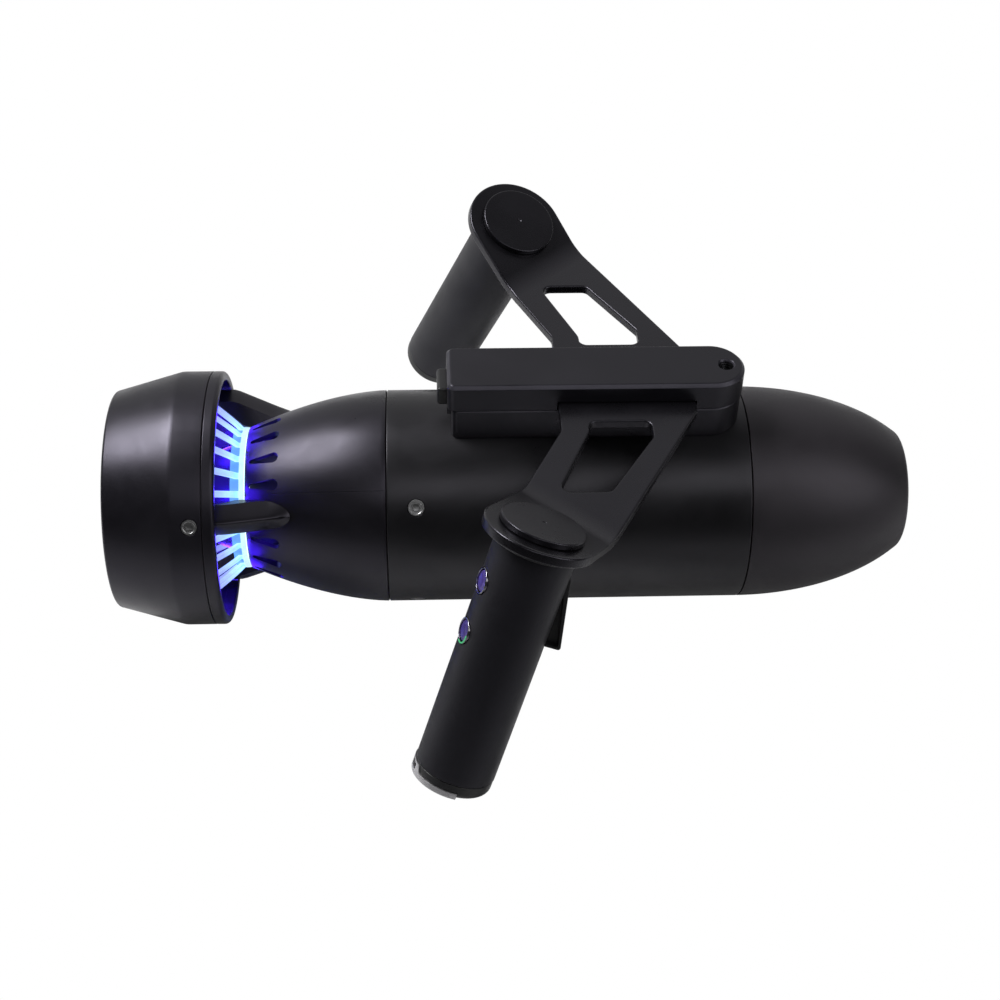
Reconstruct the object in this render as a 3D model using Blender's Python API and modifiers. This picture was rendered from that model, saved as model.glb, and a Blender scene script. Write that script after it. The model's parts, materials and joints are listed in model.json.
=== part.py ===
"""Underwater scooter: a torpedo-shaped hull with a ducted propeller and two hanging grips.

The frame is in metres. The origin is the centre of the flat face at the nose, +X runs
forward out of the nose along the hull's axis, +Z runs up through the handle block and
+Y is the diver's left. Every station along the hull is a negative X.
"""
import math

import bmesh
import bpy
from mathutils import Matrix, Vector

# ---------------------------------------------------------------- driving dimensions
GAP = 0.0003                     # between pieces that touch
WALL = 0.0030                    # hull shell thickness
TUBE_RADIUS = 0.0450
SPIGOT_RADIUS = TUBE_RADIUS - WALL - GAP
SPIGOT_WALL = 0.0035

# stations along the hull
NOSE_SEAM = -0.0701
TAIL_SEAM = -0.2185
CONE_LENGTH = 0.0585
CONE_END = TAIL_SEAM - CONE_LENGTH
LIP = -0.2865
RING_SEAM = -0.2915
DUCT_CORNER = -0.3045
DUCT_END = -0.3325

# nose cap: an ellipse that is cut off by the flat face
NOSE_SEMI_AXIS = 0.0830
NOSE_FLAT_RADIUS = 0.0223
NOSE_CORNER = 0.0040

# tail cone
CONE_DROP = 0.0152
CONE_POWER = 1.69
CONE_WALL = 0.0025
VENT_PITCH = math.radians(19.5)
VENTS_PER_GAP = 5
VENT_FRONT = TAIL_SEAM - 0.0468
VENT_BACK = TAIL_SEAM - 0.0562
VENT_HALF_WIDTH = 0.0024

# duct and its struts
DUCT_RADIUS = 0.0538
DUCT_BORE = 0.0500
DUCT_END_RADIUS = 0.0458
DUCT_END_BORE = 0.0425
STRUT_ANGLES = {"right": 30.0, "left": 150.0, "bottom": 270.0}
STRUT_TIP = TAIL_SEAM - 0.0394
STRUT_BACK = TAIL_SEAM - 0.0820
STRUT_HALF_WIDTH = 0.0062
STRUT_SLOPE = 0.444
DUCT_SCREW = TAIL_SEAM - 0.0781
BODY_SCREW = TAIL_SEAM + 0.0119
BODY_SCREW_ANGLES = (36.0, 144.0, 216.0, 324.0)

# inlet cage
CAGE_RADIUS = 0.0298
CAGE_FRONT = CONE_END - GAP
CAGE_FLARE = TAIL_SEAM - 0.0615
CAGE_BACK = TAIL_SEAM - 0.0825
CAGE_RIM_RADIUS = 0.0472
CAGE_WALL = 0.0020
CAGE_RIBS = 24
RIB_WIDTH = 0.0026

# drive line
MOTOR_RADIUS = 0.0240
HUB_RADIUS = 0.0130
SHAFT_RADIUS = 0.0040
RUNNING_FIT = 0.00008             # between a shaft or pin and the ring it turns in
PROP_FRONT = TAIL_SEAM - 0.0865
PROP_BACK = TAIL_SEAM - 0.0985
PROP_TIP_RADIUS = 0.0445
PROP_BLADES = 5
STATOR_VANES = 7

# handle block
BLOCK_TAIL = -0.1936
BLOCK_NOSE = -0.0731
BLOCK_HALF_WIDTH = 0.0134
BLOCK_TOP = 0.0696
BLOCK_SEAM = 0.0574
BASE_TAIL = -0.1917
BUTTON_TRAVEL = 0.0030
SPRING_SEAT = -0.1672
THREAD_HOLE_X = -0.0806
THREAD_HOLE_RADIUS = 0.00255

# arms: flat plates that are folded up towards their tips
ARM_TOP = 0.0613
ARM_THICKNESS = 0.0040
ARM_ROOT_TAIL = -0.1492
ARM_ROOT_NOSE = -0.0937
ARM_KNEE_TAIL = 0.0300
ARM_KNEE_NOSE = 0.0187
TIP_CENTRE = (-0.1608, 0.0975, 0.0724)     # centre of the tip's top face, y outward
TIP_RADIUS = 0.0217
TIP_LEAN = math.radians(19.1)              # grip feet towards the tail
TIP_SPLAY = math.radians(19.1)             # grip feet outward
KINK_TAIL = 0.0266
KINK_NOSE = 0.0166
WINDOW = (
    (-0.1378, 0.0248), (-0.1131, 0.0248), (-0.1131, 0.0343),
    (-0.1323, 0.0657), (-0.1524, 0.0657), (-0.1378, 0.0305),
)
WINDOW_CORNER = 0.0030

# grips, measured down the grip's own axis from the top face of the arm's tip
CAP_RADIUS = 0.0162
CAP_HEIGHT = 0.0027
GRIP_RADIUS = 0.0156
SLEEVE_BORE = 0.0133
CORE_RADIUS = 0.0130
CORE_BORE = 0.0105
SLEEVE_TOP = -0.0063
GRIP_END = {-1: -0.1081, 1: -0.1174}      # right, left
SLEEVE_END = {-1: -0.1023, 1: -0.1116}
THUMB_ANGLE = math.radians(-165.0)
THUMB_HEIGHTS = {"upper": -0.0243, "lower": -0.0453}
THUMB_RADIUS = 0.0040
BEZEL_RADIUS = 0.0052
THUMB_TRAVEL = 0.0010
TRIGGER_PIVOT = (0.0118, -0.0165)          # distance from the grip's axis, height
TRIGGER_HALF_WIDTH = 0.0042
TRIGGER_PIN_RADIUS = 0.0011
TRIGGER_FOOT = -0.0448

# facets around round pieces
HULL_STEPS = 36
GRIP_STEPS = 24
SMALL_STEPS = 12


# ---------------------------------------------------------------- scene and materials
for old in list(bpy.data.objects):
    bpy.data.objects.remove(old, do_unlink=True)

parts = bpy.data.collections.new("underwater_scooter")
cutters = bpy.data.collections.new("cutters")
bpy.context.scene.collection.children.link(parts)
bpy.context.scene.collection.children.link(cutters)


def material(name, colour, roughness, metallic=0.0, glow=0.0):
    mat = bpy.data.materials.new(name)
    mat.use_nodes = True
    shader = mat.node_tree.nodes["Principled BSDF"]
    shader.inputs["Base Color"].default_value = (*colour, 1.0)
    shader.inputs["Roughness"].default_value = roughness
    shader.inputs["Metallic"].default_value = metallic
    if glow:
        shader.inputs["Emission Color"].default_value = (*colour, 1.0)
        shader.inputs["Emission Strength"].default_value = glow
    return mat


def hull_black(name):
    return material(name, (0.022, 0.021, 0.025), 0.42)


def soft_black(name):
    return material(name, (0.018, 0.018, 0.024), 0.62)


def steel(name):
    return material(name, (0.55, 0.55, 0.56), 0.30, metallic=1.0)


def inner_grey(name):
    return material(name, (0.20, 0.20, 0.22), 0.50)


# ---------------------------------------------------------------- frames
HULL_FRAME = Matrix.Rotation(math.pi / 2, 4, "Y")


def tip_normal(side):
    """Direction up the grip's axis. side is -1 on the right and +1 on the left."""
    return Vector((
        math.sin(TIP_LEAN) * math.cos(TIP_SPLAY),
        -side * math.sin(TIP_SPLAY),
        math.cos(TIP_LEAN) * math.cos(TIP_SPLAY),
    ))


def frame_from(origin, x_axis, z_axis):
    z_axis = z_axis.normalized()
    x_axis = (x_axis - x_axis.dot(z_axis) * z_axis).normalized()
    y_axis = z_axis.cross(x_axis)
    rows = Matrix((x_axis, y_axis, z_axis)).transposed().to_4x4()
    return Matrix.Translation(origin) @ rows


def tip_frame(side):
    """Local Z up the grip's axis, local X forward, origin on the tip's top face."""
    x, out, z = TIP_CENTRE
    return frame_from(Vector((x, side * out, z)), Vector((1, 0, 0)), tip_normal(side))


def hull_radial(x, radius, degrees):
    """A frame on the hull at a station, with local Z pointing outward.

    The angle runs from the right side (-Y) up to the top (+Z)."""
    angle = math.radians(degrees)
    outward = Vector((0, -math.cos(angle), math.sin(angle)))
    return frame_from(Vector((x, 0, 0)) + outward * radius, Vector((1, 0, 0)), outward)


def grip_radial(side, height, radius, angle):
    """A frame on a grip with local Z pointing out from the grip's axis."""
    base = tip_frame(side)
    outward = base.to_3x3() @ Vector((math.cos(angle), math.sin(angle), 0))
    point = base @ Vector((0, 0, height))
    return frame_from(point + outward * radius, base.to_3x3() @ Vector((0, 0, 1)), outward)


# ---------------------------------------------------------------- shape helpers
def place(name, mesh, mat, frame, cutter=False):
    mesh.name = name
    obj = bpy.data.objects.new(name, mesh)
    obj.matrix_world = frame
    if cutter:
        cutters.objects.link(obj)
        obj.hide_render = True
        obj.display_type = "WIRE"
    else:
        parts.objects.link(obj)
        obj.data.materials.append(mat)
    return obj


def turned(name, profile, mat, steps, frame=HULL_FRAME, ring=False, cutter=False):
    """A turned piece. The profile is (height on the axis, radius), down the outer side."""
    mesh = bpy.data.meshes.new(name)
    count = len(profile)
    edges = [(i, i + 1) for i in range(count - 1)]
    if ring:
        edges.append((count - 1, 0))
    mesh.from_pydata([(radius, 0, height) for height, radius in profile], edges, [])
    obj = place(name, mesh, mat, frame, cutter)
    screw = obj.modifiers.new("turn", "SCREW")
    screw.axis = "Z"
    screw.steps = steps
    screw.render_steps = steps
    screw.use_merge_vertices = True
    screw.merge_threshold = 0.00001
    screw.use_smooth_shade = True
    return obj


def cylinder(name, radius, low, high, mat, steps, frame=HULL_FRAME, cutter=False):
    profile = [(high, 0), (high, radius), (low, radius), (low, 0)]
    return turned(name, profile, mat, steps, frame, cutter=cutter)


def washer(name, outer, inner, low, high, mat, steps, frame=HULL_FRAME, cutter=False):
    profile = [(high, outer), (low, outer), (low, inner), (high, inner)]
    return turned(name, profile, mat, steps, frame, ring=True, cutter=cutter)


def slab(name, outline, low, high, mat, frame=Matrix(), cutter=False):
    """A flat outline (x, y) that is extruded from low to high along its frame's Z."""
    mesh = bpy.data.meshes.new(name)
    bm = bmesh.new()
    face = bm.faces.new([bm.verts.new((x, y, low)) for x, y in outline])
    bm.normal_update()
    if face.normal.z > 0:
        face.normal_flip()
    extruded = bmesh.ops.extrude_face_region(bm, geom=[face], use_keep_orig=True)
    top = [item for item in extruded["geom"] if isinstance(item, bmesh.types.BMVert)]
    bmesh.ops.translate(bm, verts=top, vec=(0, 0, high - low))
    bmesh.ops.recalc_face_normals(bm, faces=bm.faces)
    bm.to_mesh(mesh)
    bm.free()
    return place(name, mesh, mat, frame, cutter)


def box(name, low, high, mat, frame=Matrix(), cutter=False):
    mesh = bpy.data.meshes.new(name)
    bm = bmesh.new()
    bmesh.ops.create_cube(bm, size=1.0)
    size = Vector(high) - Vector(low)
    middle = (Vector(high) + Vector(low)) / 2
    bmesh.ops.scale(bm, verts=bm.verts, vec=size)
    bmesh.ops.translate(bm, verts=bm.verts, vec=middle)
    bm.to_mesh(mesh)
    bm.free()
    return place(name, mesh, mat, frame, cutter)


def boolean(obj, other, operation="DIFFERENCE"):
    modifier = obj.modifiers.new(operation.lower(), "BOOLEAN")
    modifier.operation = operation
    modifier.solver = "EXACT"
    modifier.object = other
    return modifier


def bevel(obj, width, segments=1, angle=40.0):
    modifier = obj.modifiers.new("bevel", "BEVEL")
    modifier.width = width
    modifier.segments = segments
    modifier.limit_method = "ANGLE"
    modifier.angle_limit = math.radians(angle)


def arc(centre, radius, start, end, count):
    """Points on an arc, angles in radians, both ends included."""
    return [
        (centre[0] + radius * math.cos(a), centre[1] + radius * math.sin(a))
        for a in (start + (end - start) * i / count for i in range(count + 1))
    ]


def rounded(points, radius, count=3):
    """A closed outline whose corners are replaced by arcs."""
    result = []
    for i, corner in enumerate(points):
        corner = Vector(corner)
        before = (Vector(points[i - 1]) - corner).normalized()
        after = (Vector(points[(i + 1) % len(points)]) - corner).normalized()
        half = before.angle(after) / 2
        reach = radius / math.tan(half)
        centre = corner + (before + after).normalized() * radius / math.sin(half)
        first = corner + before * reach - centre
        turn = first.angle_signed(corner + after * reach - centre)
        start = math.atan2(first.y, first.x)
        result += arc(centre, radius, start, start - turn, count)
    return result


def tangent_point(point, centre, radius, side):
    """Where the line from a point touches a circle, on the chosen side."""
    away = point - centre
    swing = side * math.acos(radius / away.length)
    return centre + Matrix.Rotation(swing, 2) @ away.normalized() * radius


def lofted(name, sections, mat, frame=Matrix()):
    """A closed solid through sections that have the same number of points."""
    mesh = bpy.data.meshes.new(name)
    bm = bmesh.new()
    rows = [[bm.verts.new(point) for point in section] for section in sections]
    for row, following in zip(rows, rows[1:]):
        for i in range(len(row)):
            j = (i + 1) % len(row)
            bm.faces.new((row[i], row[j], following[j], following[i]))
    bm.faces.new(rows[0])
    bm.faces.new(rows[-1])
    bmesh.ops.recalc_face_normals(bm, faces=bm.faces)
    bm.to_mesh(mesh)
    bm.free()
    return place(name, mesh, mat, frame)


def coil(name, radius, wire, low, high, turns, mat, frame):
    """A compression spring along its frame's Z."""
    per_turn = 10
    count = turns * per_turn
    curve = bpy.data.curves.new(name, "CURVE")
    curve.dimensions = "3D"
    curve.bevel_depth = wire
    curve.bevel_resolution = 1
    curve.use_fill_caps = True
    spline = curve.splines.new("POLY")
    spline.points.add(count)
    for i in range(count + 1):
        angle = 2 * math.pi * i / per_turn
        height = low + (high - low) * i / count
        spline.points[i].co = (radius * math.cos(angle), radius * math.sin(angle), height, 1)
    guide = bpy.data.objects.new(name + "_guide", curve)
    cutters.objects.link(guide)
    mesh = bpy.data.meshes.new_from_object(guide.evaluated_get(bpy.context.evaluated_depsgraph_get()))
    bpy.data.objects.remove(guide, do_unlink=True)
    bm = bmesh.new()
    bm.from_mesh(mesh)
    bmesh.ops.remove_doubles(bm, verts=bm.verts, dist=0.00001)
    bm.to_mesh(mesh)
    bm.free()
    return place(name, mesh, mat, frame)


# ---------------------------------------------------------------- screws
def screw_profile(head, shank, length, slack=0.0, top=0.0):
    sink = head - shank
    return [
        (top, 0), (top, head + slack), (-0.0002, head + slack),
        (-0.0002 - sink, shank + slack), (-length - slack, shank + slack),
        (-length - slack, 0),
    ]


def countersunk_screw(name, frame, head=0.0034, shank=0.0019, length=0.0066):
    """A hex-socket screw whose head is flush with the frame's origin."""
    lift = Matrix.Translation((0, 0, -0.0003))
    screw = turned(name, screw_profile(head, shank, length), steel(name), SMALL_STEPS,
                   frame @ lift)
    socket = cylinder(name + "_socket", 0.0015, -0.0016, 0.0010, None, 6, frame @ lift,
                      cutter=True)
    boolean(screw, socket)
    return turned(name + "_hole", screw_profile(head, shank, length, GAP, 0.003), None,
                  SMALL_STEPS, frame @ lift, cutter=True)


# ---------------------------------------------------------------- hull
def nose_radius(x):
    share = (x - NOSE_SEAM) / NOSE_SEMI_AXIS
    return TUBE_RADIUS * math.sqrt(1 - share * share)


def cone_radius(x):
    return TUBE_RADIUS - CONE_DROP * ((TAIL_SEAM - x) / CONE_LENGTH) ** CONE_POWER


def stations(start, end, count):
    return [start + (end - start) * i / count for i in range(count + 1)]


def build_nose_cap():
    corner = (-NOSE_CORNER, NOSE_FLAT_RADIUS)
    outer = [(0.0, 0.0)]
    outer += arc(corner, NOSE_CORNER, 0.0, math.radians(52), 3)
    outer += [(x, nose_radius(x)) for x in stations(-0.0050, NOSE_SEAM + GAP, 8)]
    spigot_end = NOSE_SEAM - 0.0120
    groove = NOSE_SEAM - 0.0050
    shoulder = NOSE_SEAM + GAP
    spigot = [
        (shoulder, SPIGOT_RADIUS), (groove + 0.0013, SPIGOT_RADIUS),
        (groove + 0.0013, SPIGOT_RADIUS - 0.0017), (groove - 0.0013, SPIGOT_RADIUS - 0.0017),
        (groove - 0.0013, SPIGOT_RADIUS), (spigot_end, SPIGOT_RADIUS),
        (spigot_end, SPIGOT_RADIUS - SPIGOT_WALL), (NOSE_SEAM, SPIGOT_RADIUS - SPIGOT_WALL),
    ]
    inner = [(x - WALL, nose_radius(x) - WALL) for x in stations(NOSE_SEAM + 0.012, -0.0070, 5)]
    turned("nose_cap", outer + spigot + inner + [(-WALL - 0.001, 0.0)],
           hull_black("nose_cap"), HULL_STEPS)
    seal("nose_o_ring", groove)


def seal(name, x):
    """An O-ring in a spigot's groove."""
    middle = (x, SPIGOT_RADIUS - 0.0006)
    section = arc(middle, 0.00075, math.radians(60), math.radians(-240), 5)
    turned(name, [(2 * x - px, r) for px, r in section], soft_black(name), HULL_STEPS,
           ring=True)


def build_tube():
    front = NOSE_SEAM
    edge = 0.0005
    profile = [
        (front, TUBE_RADIUS - edge), (front - edge, TUBE_RADIUS),
        (TAIL_SEAM + edge, TUBE_RADIUS), (TAIL_SEAM, TUBE_RADIUS - edge),
        (TAIL_SEAM, TUBE_RADIUS - WALL), (front, TUBE_RADIUS - WALL),
    ]
    return turned("body_tube", profile, hull_black("body_tube"), HULL_STEPS, ring=True)


def build_tail_cone():
    shoulder = TAIL_SEAM - GAP
    spigot_end = TAIL_SEAM + 0.0185
    groove = TAIL_SEAM + 0.0045
    inner_radius = SPIGOT_RADIUS - SPIGOT_WALL
    spigot = [
        (spigot_end, SPIGOT_RADIUS), (groove + 0.0013, SPIGOT_RADIUS),
        (groove + 0.0013, SPIGOT_RADIUS - 0.0017), (groove - 0.0013, SPIGOT_RADIUS - 0.0017),
        (groove - 0.0013, SPIGOT_RADIUS), (shoulder, SPIGOT_RADIUS),
    ]
    outer = [(x, cone_radius(x)) for x in stations(shoulder, CONE_END, 8)]
    inner = [(x, cone_radius(x) - CONE_WALL) for x in stations(CONE_END, TAIL_SEAM - 0.022, 4)]
    cone = turned("tail_cone", spigot + outer + inner + [(spigot_end, inner_radius)],
                  hull_black("tail_cone"), HULL_STEPS, ring=True)
    seal("tail_o_ring", groove)
    boolean(cone, vent_cutter())
    return cone


def vent_cutter():
    """All the teardrop slots as one cutter, in rows centred between the struts."""
    outline = arc((VENT_FRONT, 0.0), VENT_HALF_WIDTH, math.radians(-80), math.radians(80), 5)
    outline += [(VENT_BACK, 0.0005), (VENT_BACK, -0.0005)]
    mesh = bpy.data.meshes.new("vents")
    bm = bmesh.new()
    middle = (VENTS_PER_GAP - 1) / 2
    for degrees in STRUT_ANGLES.values():
        for i in range(VENTS_PER_GAP):
            angle = math.radians(degrees + 60) + (i - middle) * VENT_PITCH
            frame = hull_radial(0.0, 0.0, math.degrees(angle))
            low = [bm.verts.new(frame @ Vector((x, y, 0.0255))) for x, y in outline]
            high = [bm.verts.new(frame @ Vector((x, y, 0.0400))) for x, y in outline]
            bm.faces.new(low)
            bm.faces.new(high)
            for a in range(len(outline)):
                b = (a + 1) % len(outline)
                bm.faces.new((low[a], low[b], high[b], high[a]))
    bmesh.ops.recalc_face_normals(bm, faces=bm.faces)
    bm.to_mesh(mesh)
    bm.free()
    return place("vents", mesh, None, Matrix(), cutter=True)


# ---------------------------------------------------------------- duct
def duct_outer(x):
    share = (DUCT_CORNER - x) / (DUCT_CORNER - DUCT_END)
    return DUCT_RADIUS - max(share, 0.0) * (DUCT_RADIUS - DUCT_END_RADIUS)


def duct_inner(x):
    share = (DUCT_CORNER - x) / (DUCT_CORNER - DUCT_END)
    return DUCT_BORE - max(share, 0.0) * (DUCT_BORE - DUCT_END_BORE)


def build_duct():
    edge = 0.0010
    shell = [
        (RING_SEAM - GAP, DUCT_RADIUS - 0.0003), (RING_SEAM - GAP - 0.0003, DUCT_RADIUS),
        (DUCT_CORNER, DUCT_RADIUS),
        (DUCT_END + edge, duct_outer(DUCT_END + edge)), (DUCT_END, DUCT_END_RADIUS - edge),
        (DUCT_END, DUCT_END_BORE), (DUCT_CORNER, DUCT_BORE), (RING_SEAM - GAP, DUCT_BORE),
    ]
    duct = turned("duct_shell", shell, hull_black("duct_shell"), HULL_STEPS, ring=True)
    lip = 0.0017
    ring = arc((LIP - lip, DUCT_RADIUS - lip), lip, 0.0, math.radians(90), 3)
    ring += [(RING_SEAM + 0.0003, DUCT_RADIUS), (RING_SEAM, DUCT_RADIUS - 0.0003),
             (RING_SEAM, DUCT_BORE), (LIP, DUCT_BORE)]
    turned("duct_front_ring", ring, hull_black("duct_front_ring"), HULL_STEPS, ring=True)
    return duct


def cage_radius(x):
    share = (CAGE_FLARE - x) / (CAGE_FLARE - CAGE_BACK)
    return CAGE_RADIUS + (CAGE_RIM_RADIUS - CAGE_RADIUS) * max(share, 0.0) ** 0.92


def build_cage():
    """A flared grille between the tail cone and the bore of the duct."""
    flare = stations(CAGE_FLARE, CAGE_BACK, 4)
    rim_back = CAGE_BACK - 0.0030
    rim_radius = DUCT_BORE - GAP
    outer = [(CAGE_FRONT, CAGE_RADIUS)] + [(x, cage_radius(x)) for x in flare]
    outer += [(CAGE_BACK, rim_radius), (rim_back, rim_radius)]
    inner = [(x - CAGE_WALL, cage_radius(x) - 0.0010) for x in reversed(flare[1:])]
    inner += [(CAGE_FLARE - 0.0008, MOTOR_RADIUS + GAP), (CAGE_FRONT, MOTOR_RADIUS + GAP)]
    cage = turned("inlet_cage", outer + [(rim_back, CAGE_RIM_RADIUS - 0.0012)] + inner,
                  material("inlet_cage", (0.20, 0.16, 0.95), 0.35, glow=4.0), 48, ring=True)
    mesh = bpy.data.meshes.new("cage_windows")
    bm = bmesh.new()
    low_radius = cage_radius(CAGE_FLARE - 0.0022)
    high_radius = cage_radius(CAGE_BACK + 0.0012)
    for i in range(CAGE_RIBS):
        middle = 2 * math.pi * (i + 0.5) / CAGE_RIBS
        corners = []
        for radius in (low_radius, high_radius):
            half = math.pi / CAGE_RIBS - math.asin(RIB_WIDTH / 2 / radius)
            corners.append([(radius, middle - half), (radius, middle + half)])
        ring = [corners[0][0], corners[1][0], corners[1][1], corners[0][1]]
        ends = []
        for x in (CAGE_FRONT + 0.001, rim_back - 0.004):
            ends.append([bm.verts.new((x, r * math.cos(a), r * math.sin(a))) for r, a in ring])
        bm.faces.new(ends[0])
        bm.faces.new(ends[1])
        for a in range(4):
            b = (a + 1) % 4
            bm.faces.new((ends[0][a], ends[0][b], ends[1][b], ends[1][a]))
    bmesh.ops.recalc_face_normals(bm, faces=bm.faces)
    bm.to_mesh(mesh)
    bm.free()
    boolean(cage, place("cage_windows", mesh, None, Matrix(), cutter=True))
    washer("led_ring", 0.0268, MOTOR_RADIUS + GAP, CONE_END + 0.0003, CONE_END + 0.0016,
           material("led_ring", (0.25, 0.20, 1.0), 0.4, glow=8.0), HULL_STEPS)


def build_strut(name, degrees):
    """A wedge that runs from a leaf-shaped foot on the cone into the duct's bore."""
    ridge_limit = DUCT_BORE - 2 * GAP

    def section(x, width, eave_drop):
        if x > CONE_END:
            floor = cone_radius(x) + GAP
        else:
            floor = max(cage_radius(x), CAGE_RADIUS) + 2 * GAP
        ridge = cone_radius(STRUT_TIP) + 0.0010 + (STRUT_TIP - x) * STRUT_SLOPE
        ridge = min(ridge, ridge_limit)
        eave = max(floor + 0.0002, ridge - eave_drop)
        # the flat of the floor keeps clear of the round cone under it
        return [
            (x, 0.0, ridge), (x, width, eave), (x, width * 0.92, floor),
            (x, -width * 0.92, floor), (x, -width, eave),
        ]

    leaf = [(0.0, 0.0012), (0.0014, 0.0030), (0.0040, 0.0048), (0.0080, 0.0060),
            (0.0130, STRUT_HALF_WIDTH)]
    sections = [section(STRUT_TIP - run, width, 0.0084) for run, width in leaf]
    for x in (CONE_END + 0.0001, CAGE_FLARE, LIP, STRUT_BACK):
        sections.append(section(x, STRUT_HALF_WIDTH * (1.0 if x > LIP else 0.85), 0.0084))
    frame = hull_radial(0.0, 0.0, degrees)
    strut = lofted(name, sections, hull_black(name), frame)
    return strut


def build_duct_assembly():
    duct = build_duct()
    for side, degrees in STRUT_ANGLES.items():
        strut = build_strut("strut_" + side, degrees)
        hole = countersunk_screw("duct_screw_" + side,
                                 hull_radial(DUCT_SCREW, DUCT_RADIUS, degrees))
        boolean(duct, hole)
        boolean(strut, hole)


def build_hull():
    build_nose_cap()
    tube = build_tube()
    cone = build_tail_cone()
    for i, degrees in enumerate(BODY_SCREW_ANGLES):
        hole = countersunk_screw(f"body_screw_{i + 1}",
                                 hull_radial(BODY_SCREW, TUBE_RADIUS, degrees))
        boolean(tube, hole)
        boolean(cone, hole)


# ---------------------------------------------------------------- drive line
def build_drive():
    front = TAIL_SEAM + 0.0060
    nose_end = TAIL_SEAM - 0.0845
    seat = TAIL_SEAM - 0.0520
    seal_seat = TAIL_SEAM - 0.0790
    flange = SPIGOT_RADIUS - SPIGOT_WALL - GAP
    bore = SHAFT_RADIUS + GAP
    housing = [
        (front, flange), (TAIL_SEAM + 0.0020, flange), (TAIL_SEAM + 0.0020, MOTOR_RADIUS),
        (TAIL_SEAM - 0.0620, MOTOR_RADIUS), (TAIL_SEAM - 0.0720, 0.0200), (nose_end, HUB_RADIUS),
        (nose_end, 0.0080), (seal_seat, 0.0080), (seal_seat, bore), (seat - 0.0060, bore),
        (seat - 0.0060, 0.0080), (seat, 0.0080), (seat, 0.0215), (front, 0.0215),
    ]
    turned("motor_housing", housing, inner_grey("motor_housing"), HULL_STEPS, ring=True)
    washer("motor_stator", 0.0212, 0.0130, TAIL_SEAM - 0.0460, TAIL_SEAM - 0.0080,
           material("motor_stator", (0.45, 0.22, 0.10), 0.4, metallic=0.8), GRIP_STEPS)
    washer("motor_rotor", 0.0125, SHAFT_RADIUS + GAP, TAIL_SEAM - 0.0450, TAIL_SEAM - 0.0090,
           inner_grey("motor_rotor"), GRIP_STEPS)
    plate = [(front, 0.0212), (TAIL_SEAM - 0.0050, 0.0212), (TAIL_SEAM - 0.0050, 0.0078),
             (TAIL_SEAM + 0.0010, 0.0078), (TAIL_SEAM + 0.0010, bore), (front, bore)]
    turned("motor_front_plate", plate, inner_grey("motor_front_plate"), GRIP_STEPS, ring=True)
    for name, high in (("shaft_bearing_front", TAIL_SEAM + 0.0007),
                       ("shaft_bearing_rear", seat - 0.0003)):
        washer(name, 0.0075, SHAFT_RADIUS + RUNNING_FIT, high - 0.0050, high, steel(name),
               SMALL_STEPS * 2)
    washer("shaft_seal", 0.0076, bore, nose_end + 0.0003, seal_seat - 0.0003,
           soft_black("shaft_seal"), SMALL_STEPS * 2)
    cylinder("propeller_shaft", SHAFT_RADIUS, TAIL_SEAM - 0.1040, TAIL_SEAM + 0.0030,
             steel("propeller_shaft"), GRIP_STEPS)
    build_propeller(bore)
    nut = [
        (TAIL_SEAM - 0.1046, 0.0), (TAIL_SEAM - 0.1046, bore), (TAIL_SEAM - 0.1003, bore),
        (TAIL_SEAM - 0.1003, 0.0072), (TAIL_SEAM - 0.1050, 0.0064), (TAIL_SEAM - 0.1062, 0.0),
    ]
    turned("propeller_nut", nut, steel("propeller_nut"), GRIP_STEPS)
    build_stator_guard()


def build_propeller(bore):
    front = TAIL_SEAM - 0.0849
    back = TAIL_SEAM - 0.1000
    hub = turned("propeller", [(front, HUB_RADIUS), (back + 0.002, HUB_RADIUS - 0.0010),
                               (back, HUB_RADIUS - 0.0030), (back, bore), (front, bore)],
                 material("propeller", (0.03, 0.03, 0.05), 0.35), GRIP_STEPS, ring=True)
    middle = (PROP_FRONT + PROP_BACK) / 2
    for i in range(PROP_BLADES):
        sections = []
        for share in (0.0, 0.35, 0.7, 1.0):
            radius = HUB_RADIUS - 0.0030 + share * (PROP_TIP_RADIUS - HUB_RADIUS + 0.0030)
            pitch = math.radians(52 - 24 * share)
            chord = (PROP_FRONT - PROP_BACK) * (1.0 + 0.10 * math.sin(math.pi * share))
            half = chord / 2 / math.sin(math.radians(52))
            thick = 0.0011 - 0.0003 * share
            along = Vector((math.sin(pitch), 0, math.cos(pitch)))
            across = Vector((math.cos(pitch), 0, -math.sin(pitch))) * thick
            centre = Vector((middle, radius, 0))
            sections.append([centre + along * half, centre + across,
                             centre - along * half, centre - across])
        blade = lofted(f"propeller_blade_{i}", sections, None,
                       Matrix.Rotation(2 * math.pi * i / PROP_BLADES, 4, "X"))
        as_cutter(blade)
        boolean(hub, blade, "UNION")


def as_cutter(obj):
    parts.objects.unlink(obj)
    cutters.objects.link(obj)
    obj.hide_render = True
    obj.display_type = "WIRE"


def build_stator_guard():
    front = TAIL_SEAM - 0.1075
    wall = 0.0014
    rim = [(x, duct_inner(x) - GAP) for x in (front, DUCT_END + 0.0003)]
    rim += [(x, r - wall) for x, r in reversed(rim)]
    guard = turned("rear_guard", rim, hull_black("rear_guard"), HULL_STEPS, ring=True)
    hub = cylinder("rear_guard_hub", 0.0105, DUCT_END + 0.0005, front, None, GRIP_STEPS,
                   cutter=True)
    boolean(guard, hub, "UNION")
    for i in range(STATOR_VANES):
        vane = box(f"rear_guard_vane_{i}", (DUCT_END + 0.0008, -0.0008, 0.0090),
                   (front - 0.0006, 0.0008, DUCT_END_BORE - 0.0004), None,
                   Matrix.Rotation(2 * math.pi * (i + 0.5) / STATOR_VANES, 4, "X"),
                   cutter=True)
        boolean(guard, vane, "UNION")


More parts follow.
